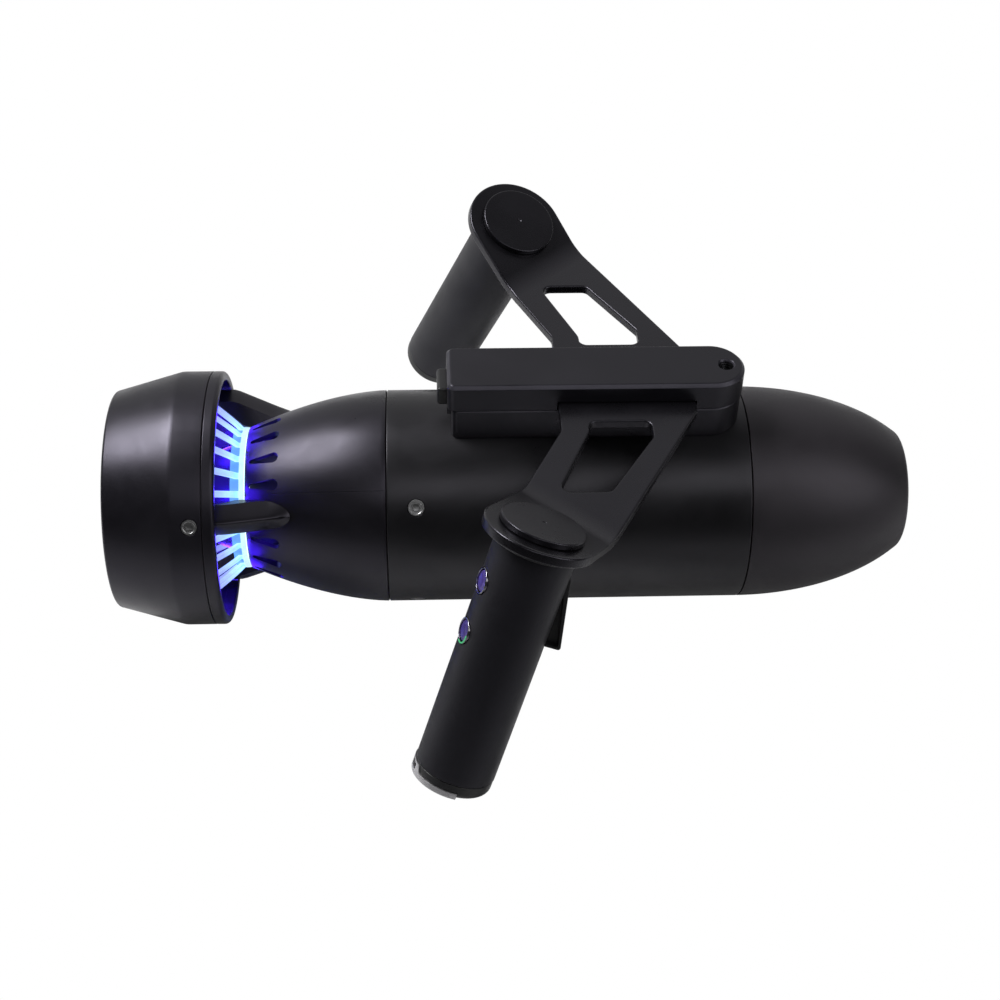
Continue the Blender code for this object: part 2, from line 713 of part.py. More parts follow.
# ---------------------------------------------------------------- power inside the tube
def build_power():
    battery_low = -0.1960
    battery_high = -0.0860
    pack = cylinder("battery_pack", 0.0365, battery_low, battery_high,
                    material("battery_pack", (0.05, 0.10, 0.22), 0.5), GRIP_STEPS)
    bevel(pack, 0.0015, angle=60)
    washer("battery_cushion", 0.0375, 0.0200, battery_high + 0.0003, battery_high + 0.0030,
           soft_black("battery_cushion"), GRIP_STEPS)
    cylinder("contact_plate", 0.0370, battery_low - 0.0020, battery_low - 0.0003,
             material("contact_plate", (0.70, 0.50, 0.20), 0.3, metallic=1.0), GRIP_STEPS)
    cylinder("controller_board", 0.0340, TAIL_SEAM + 0.0120, TAIL_SEAM + 0.0136,
             material("controller_board", (0.02, 0.16, 0.07), 0.5), GRIP_STEPS)


# ---------------------------------------------------------------- handle block
def block_outline(tail, nose, half_width, corner):
    """Square tail with small corners and a half-round nose, seen from above."""
    centre = (nose - half_width, 0.0)
    outline = arc(centre, half_width, math.radians(-90), math.radians(90), 10)
    outline += arc((tail + corner, half_width - corner), corner, math.radians(90),
                   math.radians(180), 2)
    outline += arc((tail + corner, corner - half_width), corner, math.radians(180),
                   math.radians(270), 2)
    return outline


def build_rail_base():
    outline = block_outline(BASE_TAIL, BLOCK_NOSE - 0.0004, BLOCK_HALF_WIDTH, 0.0020)
    base = slab("rail_base", outline, 0.0300, BLOCK_SEAM - GAP, hull_black("rail_base"))
    hollow = cylinder("rail_base_saddle", TUBE_RADIUS + GAP, -0.25, -0.03, None, 72,
                      cutter=True)
    boolean(base, hollow)
    notch = box("rail_base_notch", (BASE_TAIL - 0.01, -0.0074, 0.0551),
                (BASE_TAIL + 0.0032, 0.0074, 0.0700), None, cutter=True)
    boolean(base, notch)
    keeper = box("rail_base_keeper", (BASE_TAIL + 0.0070, -0.0043, 0.0548),
                 (BASE_TAIL + 0.0140, 0.0043, 0.0700), None, cutter=True)
    boolean(base, keeper)


def build_cover():
    outline = block_outline(BLOCK_TAIL, BLOCK_NOSE, BLOCK_HALF_WIDTH, 0.0028)
    cover = slab("handle_cover", outline, BLOCK_SEAM, BLOCK_TOP, hull_black("handle_cover"))
    lug = box("handle_cover_lug", (BLOCK_TAIL, -0.0100, 0.0534),
              (BASE_TAIL - GAP, 0.0100, BLOCK_SEAM + 0.002), None, cutter=True)
    boolean(cover, lug, "UNION")
    bevel(cover, 0.0010, segments=2, angle=50)
    arms = box("handle_cover_arm_slot", (ARM_ROOT_TAIL - GAP, -0.02, 0.05),
               (ARM_ROOT_NOSE + GAP, 0.02, ARM_TOP + GAP), None, cutter=True)
    boolean(cover, arms)
    pocket = box("handle_cover_pocket", (BASE_TAIL, -0.0106, 0.0500),
                 (ARM_ROOT_TAIL - 0.0030, 0.0106, 0.0664), None, cutter=True)
    boolean(cover, pocket)
    stop = box("handle_cover_spring_stop", (SPRING_SEAT, -0.0050, BLOCK_SEAM),
               (SPRING_SEAT + 0.0025, 0.0050, 0.0675), None, cutter=True)
    boolean(cover, stop, "UNION")
    mouth = box("handle_cover_button_mouth", (BLOCK_TAIL - 0.01, -0.0073, 0.0552),
                (BASE_TAIL + 0.001, 0.0073, 0.0642), None, cutter=True)
    boolean(cover, mouth)
    well = turned("handle_cover_thread_well", [
        (BLOCK_TOP + 0.001, 0.0), (BLOCK_TOP + 0.001, 0.0044), (BLOCK_TOP - 0.0010, 0.0028),
        (BLOCK_TOP - 0.0010, 0.0045), (BLOCK_SEAM - 0.001, 0.0045), (BLOCK_SEAM - 0.001, 0.0),
    ], None, GRIP_STEPS, Matrix.Translation((THREAD_HOLE_X, 0, 0)), cutter=True)
    boolean(cover, well)
    washer("thread_insert", 0.0042, THREAD_HOLE_RADIUS, BLOCK_SEAM + 0.0003,
           BLOCK_TOP - 0.0013, steel("thread_insert"), GRIP_STEPS,
           Matrix.Translation((THREAD_HOLE_X, 0, 0)))


def build_release_button():
    """A push button with a hooked stem that catches in the rail base."""
    head_inner = BLOCK_TAIL + 0.0011
    head = box("release_button", (BLOCK_TAIL - 0.0040, -0.0070, 0.0555),
               (head_inner, 0.0070, 0.0639), hull_black("release_button"))
    bevel(head, 0.0012, segments=2)
    stem = box("release_button_stem", (head_inner - 0.002, -0.0040, 0.0576),
               (BASE_TAIL + 0.0105, 0.0040, 0.0628), None, cutter=True)
    hook = box("release_button_hook", (BASE_TAIL + 0.0075, -0.0038, 0.0556),
               (BASE_TAIL + 0.0100, 0.0038, 0.0600), None, cutter=True)
    boolean(head, stem, "UNION")
    boolean(head, hook, "UNION")
    frame = frame_from(Vector((BASE_TAIL + 0.0105 + GAP, 0, 0.0602)), Vector((0, 0, 1)),
                       Vector((1, 0, 0)))
    coil("release_spring", 0.0020, 0.00035, 0.0004, 0.0130, 5, steel("release_spring"), frame)


# ---------------------------------------------------------------- arms
def fold(side):
    """Where the arm bends: a point, the line's direction and the outward direction."""
    normal = tip_normal(side)
    x, out, z = TIP_CENTRE
    tip = Vector((x, side * out, z))
    line = Vector((0, 0, 1)).cross(normal).normalized()
    uphill = Vector((normal.x, normal.y, 0)).normalized() * -1
    run = (z - ARM_TOP) / math.tan(math.acos(normal.z))
    foot = Vector((tip.x, tip.y, ARM_TOP)) - uphill * run
    return foot, line, uphill, math.acos(normal.z)


def arm_outline(side):
    """The flat pattern of an arm, before it is folded."""
    foot, line, uphill, angle = fold(side)
    x, out, z = TIP_CENTRE
    reach = (z - ARM_TOP) / math.sin(angle)
    centre = (foot + uphill * reach).to_2d()
    line = line.to_2d()
    tailward = line if line.x < 0 else -line
    kink_tail = foot.to_2d() + tailward * KINK_TAIL
    kink_nose = foot.to_2d() - tailward * KINK_NOSE
    touch_tail = tangent_point(kink_tail, centre, TIP_RADIUS, -side)
    touch_nose = tangent_point(kink_nose, centre, TIP_RADIUS, side)
    start = touch_tail - centre
    sweep = (2 * math.pi - abs(start.angle(touch_nose - centre)))
    first = math.atan2(start.y, start.x)
    tip = arc(centre, TIP_RADIUS, first, first - side * sweep, 14)
    inner = side * GAP / 2
    return [
        (ARM_ROOT_TAIL, inner), (ARM_ROOT_TAIL, side * ARM_KNEE_TAIL), tuple(kink_tail),
        *tip, tuple(kink_nose), (ARM_ROOT_NOSE, side * ARM_KNEE_NOSE), (ARM_ROOT_NOSE, inner),
    ]


def build_arm(name, side):
    foot, line, uphill, angle = fold(side)
    bm = bmesh.new()
    face = bm.faces.new([bm.verts.new((x, y, ARM_TOP)) for x, y in arm_outline(side)])
    bm.normal_update()
    if face.normal.z < 0:
        face.normal_flip()
    bmesh.ops.bisect_plane(bm, geom=bm.verts[:] + bm.edges[:] + bm.faces[:],
                           plane_co=foot, plane_no=uphill)
    beyond = [v for v in bm.verts if (v.co - foot).dot(uphill) > 0.0001]
    axis = uphill.cross(Vector((0, 0, 1)))
    bmesh.ops.rotate(bm, verts=beyond, cent=foot, matrix=Matrix.Rotation(angle, 3, axis))
    mesh = bpy.data.meshes.new(name)
    bm.to_mesh(mesh)
    bm.free()
    arm = place(name, mesh, hull_black(name), Matrix())
    shell = arm.modifiers.new("thickness", "SOLIDIFY")
    shell.thickness = ARM_THICKNESS
    shell.offset = -1.0
    shell.use_even_offset = True
    window = [(x, side * out) for x, out in WINDOW]
    boolean(arm, slab(name + "_window", rounded(window, WINDOW_CORNER), 0.050, 0.070, None,
                      cutter=True))
    boolean(arm, cylinder(name + "_bolt_hole", 0.0033, -0.010, 0.005, None, SMALL_STEPS,
                          tip_frame(side), cutter=True))
    bevel(arm, 0.0005, angle=50)


# ---------------------------------------------------------------- grips
def build_grip(suffix, side):
    frame = tip_frame(side)
    cap = [
        (CAP_HEIGHT, 0.0), (CAP_HEIGHT, CAP_RADIUS - 0.0008), (CAP_HEIGHT - 0.0008, CAP_RADIUS),
        (GAP, CAP_RADIUS), (GAP, 0.0068), (0.0019, 0.0068), (0.0019, 0.0),
    ]
    turned("arm_cap_" + suffix, cap, hull_black("arm_cap_" + suffix), GRIP_STEPS, frame)
    bolt = [
        (0.0016, 0.0), (0.0016, 0.0060), (GAP, 0.0060), (GAP, 0.0030), (-0.0180, 0.0030),
        (-0.0180, 0.0),
    ]
    turned("grip_bolt_" + suffix, bolt, steel("grip_bolt_" + suffix), SMALL_STEPS, frame)
    flange = -ARM_THICKNESS - GAP
    sleeve_end, grip_end = SLEEVE_END[side], GRIP_END[side]
    core = [
        (flange, 0.0180), (flange - 0.0012, 0.0180), (SLEEVE_TOP + GAP, CORE_RADIUS + 0.0018),
        (SLEEVE_TOP + GAP, CORE_RADIUS), (sleeve_end, CORE_RADIUS), (sleeve_end, CORE_BORE),
        (-0.0140, CORE_BORE), (-0.0110, 0.0033), (flange, 0.0033),
    ]
    core = turned("grip_core_" + suffix, core, inner_grey("grip_core_" + suffix), GRIP_STEPS,
                  frame, ring=True)
    sleeve = [
        (SLEEVE_TOP, GRIP_RADIUS - 0.0004), (SLEEVE_TOP - 0.0004, GRIP_RADIUS),
        (sleeve_end, GRIP_RADIUS), (sleeve_end, SLEEVE_BORE), (SLEEVE_TOP, SLEEVE_BORE),
    ]
    sleeve = turned("grip_sleeve_" + suffix, sleeve, soft_black("grip_sleeve_" + suffix),
                    GRIP_STEPS, frame, ring=True)
    end_radius = GRIP_RADIUS - 0.0002 if side > 0 else GRIP_RADIUS - 0.0014
    plug = CORE_BORE - GAP
    end = [
        (sleeve_end + 0.0060, 0.0), (sleeve_end + 0.0060, plug), (sleeve_end - GAP, plug),
        (sleeve_end - GAP, end_radius), (grip_end + 0.0015, end_radius),
        (grip_end + 0.0005, end_radius - 0.0006), (grip_end, end_radius - 0.0018),
        (grip_end, 0.0),
    ]
    turned("grip_end_" + suffix, end, hull_black("grip_end_" + suffix), GRIP_STEPS, frame)
    return core, sleeve


def build_thumb_button(name, height, holders):
    """A sealed push button in a bright bezel that is let into the grip."""
    frame = grip_radial(-1, height, 0.0, THUMB_ANGLE)
    hole = cylinder(f"thumb_hole_{name}", BEZEL_RADIUS + GAP, 0.0070, 0.0200, None,
                    SMALL_STEPS, frame, cutter=True)
    for holder in holders:
        boolean(holder, hole)
    bezel = washer("thumb_bezel_" + name, BEZEL_RADIUS, THUMB_RADIUS + GAP, 0.0118, 0.0160,
                   steel("thumb_bezel_" + name), SMALL_STEPS, frame)
    bevel(bezel, 0.0003)
    button = [
        (0.0160, 0.0), (0.0159, 0.0026), (0.0155, THUMB_RADIUS), (0.0095, THUMB_RADIUS),
        (0.0095, 0.0),
    ]
    turned("thumb_button_" + name, button,
           material("thumb_button_" + name, (0.30, 0.16, 0.75), 0.35, glow=0.6), SMALL_STEPS,
           frame)


def build_trigger(holders):
    """A finger lever on the forward side of the right grip."""
    frame = tip_frame(-1) @ Matrix.Rotation(math.pi / 2, 4, "X")
    # in this frame X is forward out of the grip, Y is up its axis, Z is across
    half = TRIGGER_HALF_WIDTH
    pivot_x, pivot_y = TRIGGER_PIVOT
    boss = arc(TRIGGER_PIVOT, 0.0026, math.radians(200), math.radians(80), 5)
    outline = boss + [
        (0.0160, pivot_y + 0.0022), (0.0165, pivot_y - 0.0010), (0.0209, TRIGGER_FOOT),
        (0.0168, TRIGGER_FOOT), (0.0140, pivot_y - 0.0080),
    ]
    lever = slab("trigger", outline, -half, half, hull_black("trigger"), frame)
    pivot = frame @ Matrix.Translation((pivot_x, pivot_y, 0))
    pin_hole = cylinder("trigger_pin_hole", 0.0013, -0.0060, 0.0060, None, SMALL_STEPS,
                        pivot, cutter=True)
    bore = cylinder("trigger_bore", TRIGGER_PIN_RADIUS + RUNNING_FIT, -0.0070, 0.0070, None,
                    SMALL_STEPS, pivot, cutter=True)
    boolean(lever, bore)
    slot = box("trigger_slot", (0.0080, TRIGGER_FOOT - 0.0014, -half - 0.0004),
               (0.0230, pivot_y + 0.0034, half + 0.0004), None, frame, cutter=True)
    for holder in holders:
        boolean(holder, slot)
        boolean(holder, pin_hole)
    cylinder("trigger_pin", TRIGGER_PIN_RADIUS, -0.0052, 0.0052, steel("trigger_pin"),
             SMALL_STEPS, pivot)


def build_grip_electronics():
    frame = grip_radial(-1, 0.0, 0.0, THUMB_ANGLE)
    # local X is up the grip's axis, local Z points at the buttons
    box("handle_board", (-0.0560, -0.0055, 0.0040), (-0.0180, 0.0055, 0.0056),
        material("handle_board", (0.02, 0.16, 0.07), 0.5), frame)
    cylinder("handle_battery", 0.0072, -0.0950, -0.0610,
             material("handle_battery", (0.15, 0.35, 0.15), 0.4), GRIP_STEPS, tip_frame(-1))


def build_lanyard_band():
    """A bright band around the tail side of the right grip's foot."""
    frame = tip_frame(-1)
    low, high = GRIP_END[-1] + 0.0002, SLEEVE_END[-1] - 2 * GAP
    band = washer("lanyard_band", GRIP_RADIUS + 0.0004, GRIP_RADIUS - 0.0011, low, high,
                  steel("lanyard_band"), GRIP_STEPS * 2, frame)
    keep = slab("lanyard_band_keep", [
        (0.0, 0.0), (0.002, -0.03), (-0.03, -0.03), (-0.03, 0.018),
    ], low - 0.01, high + 0.01, None, frame, cutter=True)
    boolean(band, keep, "INTERSECT")
    eye = box("lanyard_eye", (-0.03, -0.0022, low + 0.0016),
              (-0.010, 0.0022, high - 0.0012), None, frame, cutter=True)
    boolean(band, eye)


def build_arms():
    for suffix, side in (("right", -1), ("left", 1)):
        build_arm("arm_" + suffix, side)
        core, sleeve = build_grip(suffix, side)
        if side < 0:
            for name, height in THUMB_HEIGHTS.items():
                build_thumb_button(name, height, (core, sleeve))
            build_trigger((core, sleeve))
    build_grip_electronics()
    build_lanyard_band()


build_hull()
build_duct_assembly()
build_cage()
build_drive()
build_power()
build_rail_base()
build_cover()
build_release_button()
build_arms()
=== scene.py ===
import json
from contextlib import contextmanager
from math import acos, atan2, ceil, cos, hypot, pi, radians, sin, sqrt, tan

import bmesh
import bpy
from mathutils import Matrix, Vector
from mathutils.bvhtree import BVHTree

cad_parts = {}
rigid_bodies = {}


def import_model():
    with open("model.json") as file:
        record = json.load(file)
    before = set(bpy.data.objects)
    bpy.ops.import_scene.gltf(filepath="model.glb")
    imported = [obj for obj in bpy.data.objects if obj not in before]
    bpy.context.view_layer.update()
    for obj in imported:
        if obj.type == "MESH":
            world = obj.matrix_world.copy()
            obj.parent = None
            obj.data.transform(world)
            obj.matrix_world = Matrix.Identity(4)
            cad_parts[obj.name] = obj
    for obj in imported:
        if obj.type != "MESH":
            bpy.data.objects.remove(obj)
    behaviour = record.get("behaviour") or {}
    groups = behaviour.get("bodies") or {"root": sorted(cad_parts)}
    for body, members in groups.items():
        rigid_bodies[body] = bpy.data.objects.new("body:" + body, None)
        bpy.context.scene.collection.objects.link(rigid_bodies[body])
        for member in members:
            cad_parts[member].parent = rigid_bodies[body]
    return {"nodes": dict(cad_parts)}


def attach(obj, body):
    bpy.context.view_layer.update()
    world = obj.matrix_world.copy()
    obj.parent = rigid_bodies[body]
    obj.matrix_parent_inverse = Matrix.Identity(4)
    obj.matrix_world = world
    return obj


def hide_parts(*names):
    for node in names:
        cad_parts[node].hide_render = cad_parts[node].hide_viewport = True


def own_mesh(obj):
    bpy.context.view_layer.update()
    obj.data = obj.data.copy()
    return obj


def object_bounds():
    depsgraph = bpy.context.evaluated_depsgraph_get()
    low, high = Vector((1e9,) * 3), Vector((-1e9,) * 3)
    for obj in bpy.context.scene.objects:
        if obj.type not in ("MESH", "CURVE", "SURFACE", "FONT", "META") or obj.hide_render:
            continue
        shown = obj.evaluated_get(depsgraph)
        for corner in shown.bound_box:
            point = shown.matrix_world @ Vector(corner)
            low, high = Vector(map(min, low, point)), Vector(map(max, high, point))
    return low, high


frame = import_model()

CAD_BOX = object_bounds()

# ---- dimensions, in metres
GAP = 0.0003
TUBE_RADIUS = 0.0450
WALL = 0.0030
SPIGOT_RADIUS = 0.0417
SPIGOT_BORE = 0.0382
NOSE_SEAM = -0.0701
TAIL_SEAM = -0.2185
CONE_END = -0.2770
LIP = -0.2865
RING_SEAM = -0.2915
DUCT_CORNER = -0.3045
DUCT_END = -0.3325
NOSE_SEMI_AXIS = 0.0830
NOSE_FLAT_RADIUS = 0.0223
NOSE_CORNER = 0.0040
CONE_DROP = 0.0152
CONE_POWER = 1.69
CONE_LENGTH = TAIL_SEAM - CONE_END
DUCT_RADIUS = 0.0538
DUCT_BORE = 0.0500
DUCT_END_RADIUS = 0.0458
DUCT_END_BORE = 0.0425
STRUTS = {"right": 30.0, "left": 150.0, "bottom": 270.0}
STRUT_TIP = TAIL_SEAM - 0.0394
STRUT_BACK = TAIL_SEAM - 0.0820
BODY_SCREW = TAIL_SEAM + 0.0119
BODY_SCREW_ANGLES = (36.0, 144.0, 216.0, 324.0)
DUCT_SCREW = TAIL_SEAM - 0.0781
BODY_SCREW_HEAD = 0.0034
DUCT_SCREW_HEAD = 0.0032
VENT_PITCH = 19.5
VENT_FRONT = TAIL_SEAM - 0.0468
VENT_BACK = TAIL_SEAM - 0.0562
CAGE_RADIUS = 0.0298
CAGE_BORE = 0.0246
CAGE_RIM = 0.0472
CAGE_START = TAIL_SEAM - 0.0615
CAGE_BACK = TAIL_SEAM - 0.0825
BLADES = 5
BLADE_ROOT = 0.0100
BLADE_TIP = 0.0444
VANES = 7
BLOCK_TAIL = -0.1936
BLOCK_NOSE = -0.0731
BLOCK_HALF = 0.0134
BLOCK_TOP = 0.0696
BLOCK_SEAM = 0.0574
BASE_TAIL = -0.1917
THREAD_X = -0.0806
THREAD_PITCH = 0.00127
SPRING_TAIL = -0.1804
SPRING_NOSE = -0.1679
SPRING_HEIGHT = 0.0602
ARM_TOP = 0.0613
ARM_THICKNESS = 0.0040
ROOT_TAIL = -0.1492
ROOT_NOSE = -0.0937
KNEE_TAIL = 0.0300
KNEE_NOSE = 0.0187
TIP_CENTRE = (-0.1608, 0.0975, 0.0724)
TIP_RADIUS = 0.0217
TIP_LEAN = TIP_SPLAY = radians(19.1)
KINK_TAIL = 0.0266
KINK_NOSE = 0.0166
BEND_RADIUS = 0.0260
WINDOW = (                        # corners of the arm's window, with their radii
    (-0.1378, 0.0248, 0.0034), (-0.1131, 0.0248, 0.0034), (-0.1131, 0.0343, 0.0034),
    (-0.1323, 0.0657, 0.0034), (-0.1524, 0.0657, 0.0034), (-0.1378, 0.0305, 0.008),
)
GRIP_RADIUS = 0.0156
CAP_RADIUS = 0.0162
CORE_RADIUS = 0.0130
PLUG_RADIUS = 0.0102
SLEEVE_TOP = -0.0063
GRIP_END = {-1: -0.1081, 1: -0.1174}      # right, left
SLEEVE_END = {-1: -0.1023, 1: -0.1116}
BAND_LOW = GRIP_END[-1] + 0.0002
BAND_HIGH = SLEEVE_END[-1] - 2 * GAP
BAND_STRIP = 0.0023
THUMB_ANGLE = radians(-167.5)
THUMB_HEIGHTS = {"upper": -0.0243, "lower": -0.0453}
TRIGGER_PIVOT = (0.0118, -0.0165)
TRIGGER_HALF = 0.0042
TRIGGER_FOOT = -0.0448

STEPS = 200                       # facets round the hull
FINE = 96                         # facets round the grips
SMALL = 64                        # facets round buttons and pins
HULL = Matrix.Rotation(pi / 2, 4, "Y")


# ---- node helpers
class Look:
    """A material whose nodes are added one by one."""

    def __init__(self, name):
        self.mat = bpy.data.materials.new(name)
        self.mat.use_nodes = True
        self.tree = self.mat.node_tree
        self.shader = self.tree.nodes["Principled BSDF"]
        self.coords = self.tree.nodes.new("ShaderNodeTexCoord").outputs["Object"]

    def put(self, socket, value):
        """Links another node's output to the socket, or sets a plain value on it."""
        if isinstance(value, bpy.types.NodeSocket):
            self.tree.links.new(value, socket)
        else:
            socket.default_value = value

    def node(self, kind, inputs, **settings):
        node = self.tree.nodes.new("ShaderNode" + kind)
        for key, value in settings.items():
            setattr(node, key, value)
        for key, value in inputs.items():
            self.put(node.inputs[key], value)
        return node

    def finish(self, **values):
        """Sets the shader's sockets and gives back the material."""
        for name, value in values.items():
            self.put(self.shader.inputs[name.replace("_", " ")], value)
        return self.mat

    def stretched(self, *scale):
        return self.node("Mapping", {"Scale": scale, "Vector": self.coords}).outputs["Vector"]

    def noise(self, scale, detail=3.0, rough=0.55, vector=None, warp=0.0):
        return self.node("TexNoise", {
            "Scale": scale, "Detail": detail, "Roughness": rough, "Distortion": warp,
            "Vector": vector or self.coords}).outputs["Fac"]

    def cells(self, scale, feature="F1"):
        return self.node("TexVoronoi", {"Scale": scale, "Vector": self.coords},
                         feature=feature).outputs["Distance"]

    def remap(self, value, low, high, to_low=0.0, to_high=1.0):
        return self.node("MapRange", {
            "From Min": low, "From Max": high, "To Min": to_low, "To Max": to_high,
            "Value": value}).outputs["Result"]

    def gloss(self, source, roughness, less, more):
        """Roughness that wanders about a middle value."""
        return self.remap(source, 0.3, 0.7, roughness - less, roughness + more)

    def math(self, operation, *values):
        return self.node("Math", dict(enumerate(values)), operation=operation).outputs[0]

    def times(self, a, b):
        return self.math("MULTIPLY", a, b)

    def plus(self, a, b):
        return self.math("ADD", a, b)

    def blend(self, factor, *colours):
        """Mixes two colours."""
        a, b = (c if isinstance(c, bpy.types.NodeSocket) else (*c, 1.0) for c in colours)
        node = self.node("Mix", {}, data_type="RGBA")
        first, second = (s for s in node.inputs if s.type == "RGBA")
        for socket, value in ((node.inputs["Factor"], factor), (first, a), (second, b)):
            self.put(socket, value)
        return next(s for s in node.outputs if s.type == "RGBA")

    def bump(self, height, distance):
        return self.node("Bump", {"Distance": distance, "Strength": 1.0,
                                  "Height": height}).outputs["Normal"]

    def split(self):
        return self.node("SeparateXYZ", {0: self.coords}).outputs

    def band(self, low, high, soft=0.0002):
        """One between two heights, nought above and below them."""
        height = self.split()["Z"]
        return self.times(self.remap(height, low - soft, low),
                          self.remap(height, high, high + soft, 1.0, 0.0))

    def edges(self, low=0.505, high=0.56):
        """One on convex edges, nought on flats and hollows."""
        return self.remap(self.node("NewGeometry", {}).outputs["Pointiness"], low, high)


def tint(colour, factor):
    return tuple(min(1.0, c * factor) for c in colour)


def coated(name, colour, roughness, grain=1500.0, grain_depth=0.000012, scuffs=0.25,
           edge_wear_and_highlight=0.5, lift=2.2, edge_lift=4.0, tone=(1.0, 1.0, 1.0), band=None):
    """Dark moulded or anodised finish: fine grain, patchy gloss, faint scuffs, worn edges; a
    given band gets a painted highlight in place of the worn edges.
    """
    look = Look(name)
    patches = look.noise(28.0, 4.0, 0.6, warp=0.4)
    fine = look.noise(grain, 2.0, 0.6)
    specks = look.remap(look.cells(620.0), 0.0, 0.16, 1.0, 0.0)
    rubbed = look.noise(9.0, 5.0, 0.7, look.stretched(1.0, 3.2, 3.2), 1.2)
    rubbed = look.remap(rubbed, 0.56, 0.74)
    lines = look.noise(60.0, 6.0, 0.75, look.stretched(1.0, 14.0, 14.0), 0.3)
    lines = look.remap(lines, 0.62, 0.70)
    marks = look.times(look.times(rubbed, look.math("MAXIMUM", lines, 0.35)), scuffs)
    # Convex edges are lifted as wear; a given band is lifted instead, as a painted highlight.
    edge = look.band(*band) if band else look.edges()
    edge = look.times(look.times(edge, look.remap(patches, 0.35, 0.75, 0.2, 1.0)), edge_wear_and_highlight)
    body = look.blend(look.remap(patches, 0.3, 0.7), tint(colour, 0.86), tint(colour, 1.14))
    body = look.blend(look.times(specks, 0.12), body, tint(colour, lift * 1.5))
    body = look.blend(marks, body, tint(colour, lift))
    body = look.blend(edge, body, tint(colour, edge_lift))
    gloss = look.gloss(patches, roughness, 0.08, 0.08)
    gloss = look.plus(gloss, look.times(marks, 0.22))
    gloss = look.plus(gloss, look.remap(fine, 0.3, 0.7, -0.03, 0.03))
    return look.finish(Base_Color=body, Roughness=gloss, Specular_Tint=(*tone, 1.0),
                       Normal=look.bump(fine, grain_depth))


def metal(name, colour, roughness, axis=(1.0, 1.0, 1.0), scale=900.0):
    """Bare metal with fine tool lines and a few stains."""
    look = Look(name)
    lines = look.noise(scale, 5.0, 0.7, look.stretched(*axis))
    patches = look.noise(160.0, 4.0, 0.6)
    stain = look.remap(look.noise(420.0, 4.0, 0.65), 0.55, 0.75, 0.0, 0.2)
    body = look.blend(patches, tint(colour, 0.86), tint(colour, 1.08))
    body = look.blend(stain, body, tint(colour, 0.45))
    gloss = look.gloss(lines, roughness, 0.07, 0.10)
    return look.finish(Base_Color=body, Roughness=gloss, Metallic=1.0,
                       Normal=look.bump(lines, 0.00001))


def rubber(name, colour, roughness, sheen):
    look = Look(name)
    pores = look.cells(900.0)
    fine = look.noise(2200.0, 2.0, 0.6)
    patches = look.noise(40.0, 4.0, 0.6, warp=0.6)
    dust = look.remap(look.noise(700.0, 3.0, 0.7), 0.62, 0.80, 0.0, 0.35)
    body = look.blend(patches, tint(colour, 0.85), tint(colour, 1.2))
    body = look.blend(dust, body, tint(colour, 2.6))
    body = look.blend(look.times(look.edges(), 0.3), body, tint(colour, 2.4))
    gloss = look.gloss(patches, roughness, 0.05, 0.07)
    height = look.plus(look.times(pores, 0.7), fine)
    return look.finish(Base_Color=body, Roughness=gloss, Sheen_Weight=sheen,
                       Sheen_Roughness=0.5, Specular_IOR_Level=0.38,
                       Specular_Tint=(0.86, 0.84, 1.0, 1.0), Normal=look.bump(height, 0.00002))


def lit_plastic(name, near, far, start, end, strength, rim=(0.75, 0.9, 1.0)):
    """Clear plastic that carries light outwards from the hull's axis."""
    look = Look(name)
    place = look.split()
    y, z = place["Y"], place["Z"]
    radius = look.math("SQRT", look.plus(look.times(y, y), look.times(z, z)))
    cloud = look.noise(240.0, 3.0, 0.6, look.stretched(0.5, 1.0, 1.0))
    share = look.plus(look.remap(radius, start, end), look.remap(cloud, 0.3, 0.7, -0.10, 0.10))
    middle = tuple((a + 2 * b) / 3 for a, b in zip(near, far))
    fade = look.node("ValToRGB", {"Fac": share})
    ramp = fade.color_ramp
    ramp.elements.new(0.5)
    for stop, place, colour in zip(ramp.elements, (0.0, 0.45, 1.0), (near, middle, far)):
        stop.position = place
        stop.color = (*colour, 1.0)
    bright = look.times(look.edges(0.50, 0.60), 0.8)
    return look.finish(
        Base_Color=look.blend(cloud, tint(far, 0.5), tint(far, 0.8)),
        Emission_Color=look.blend(bright, fade.outputs["Color"], rim),
        Emission_Strength=look.remap(share, 0.0, 1.0, strength, strength * 0.35),
        Roughness=look.remap(cloud, 0.3, 0.7, 0.15, 0.35))


def inner(name, colour, roughness, metallic=0.0, grain=400.0):
    """Plain engineering surface for pieces that only show through gaps."""
    look = Look(name)
    patches = look.noise(90.0, 4.0, 0.6)
    fine = look.noise(grain, 3.0, 0.6)
    body = look.blend(patches, tint(colour, 0.8), tint(colour, 1.15))
    body = look.blend(look.times(look.edges(), 0.4), body, tint(colour, 1.8))
    gloss = look.gloss(fine, roughness, 0.08, 0.08)
    return look.finish(Base_Color=body, Roughness=gloss, Metallic=metallic,
                       Normal=look.bump(fine, 0.00002))


def circuit(name):
    look = Look(name)
    tracks = look.remap(look.cells(300.0, "DISTANCE_TO_EDGE"), 0.02, 0.06)
    pads = look.remap(look.cells(150.0), 0.10, 0.16, 1.0, 0.0)
    body = look.blend(tracks, (0.05, 0.26, 0.12), (0.01, 0.10, 0.04))
    return look.finish(Base_Color=look.blend(pads, body, (0.55, 0.42, 0.18)),
                       Roughness=look.remap(tracks, 0.0, 1.0, 0.30, 0.45),
                       Normal=look.bump(tracks, 0.00003))


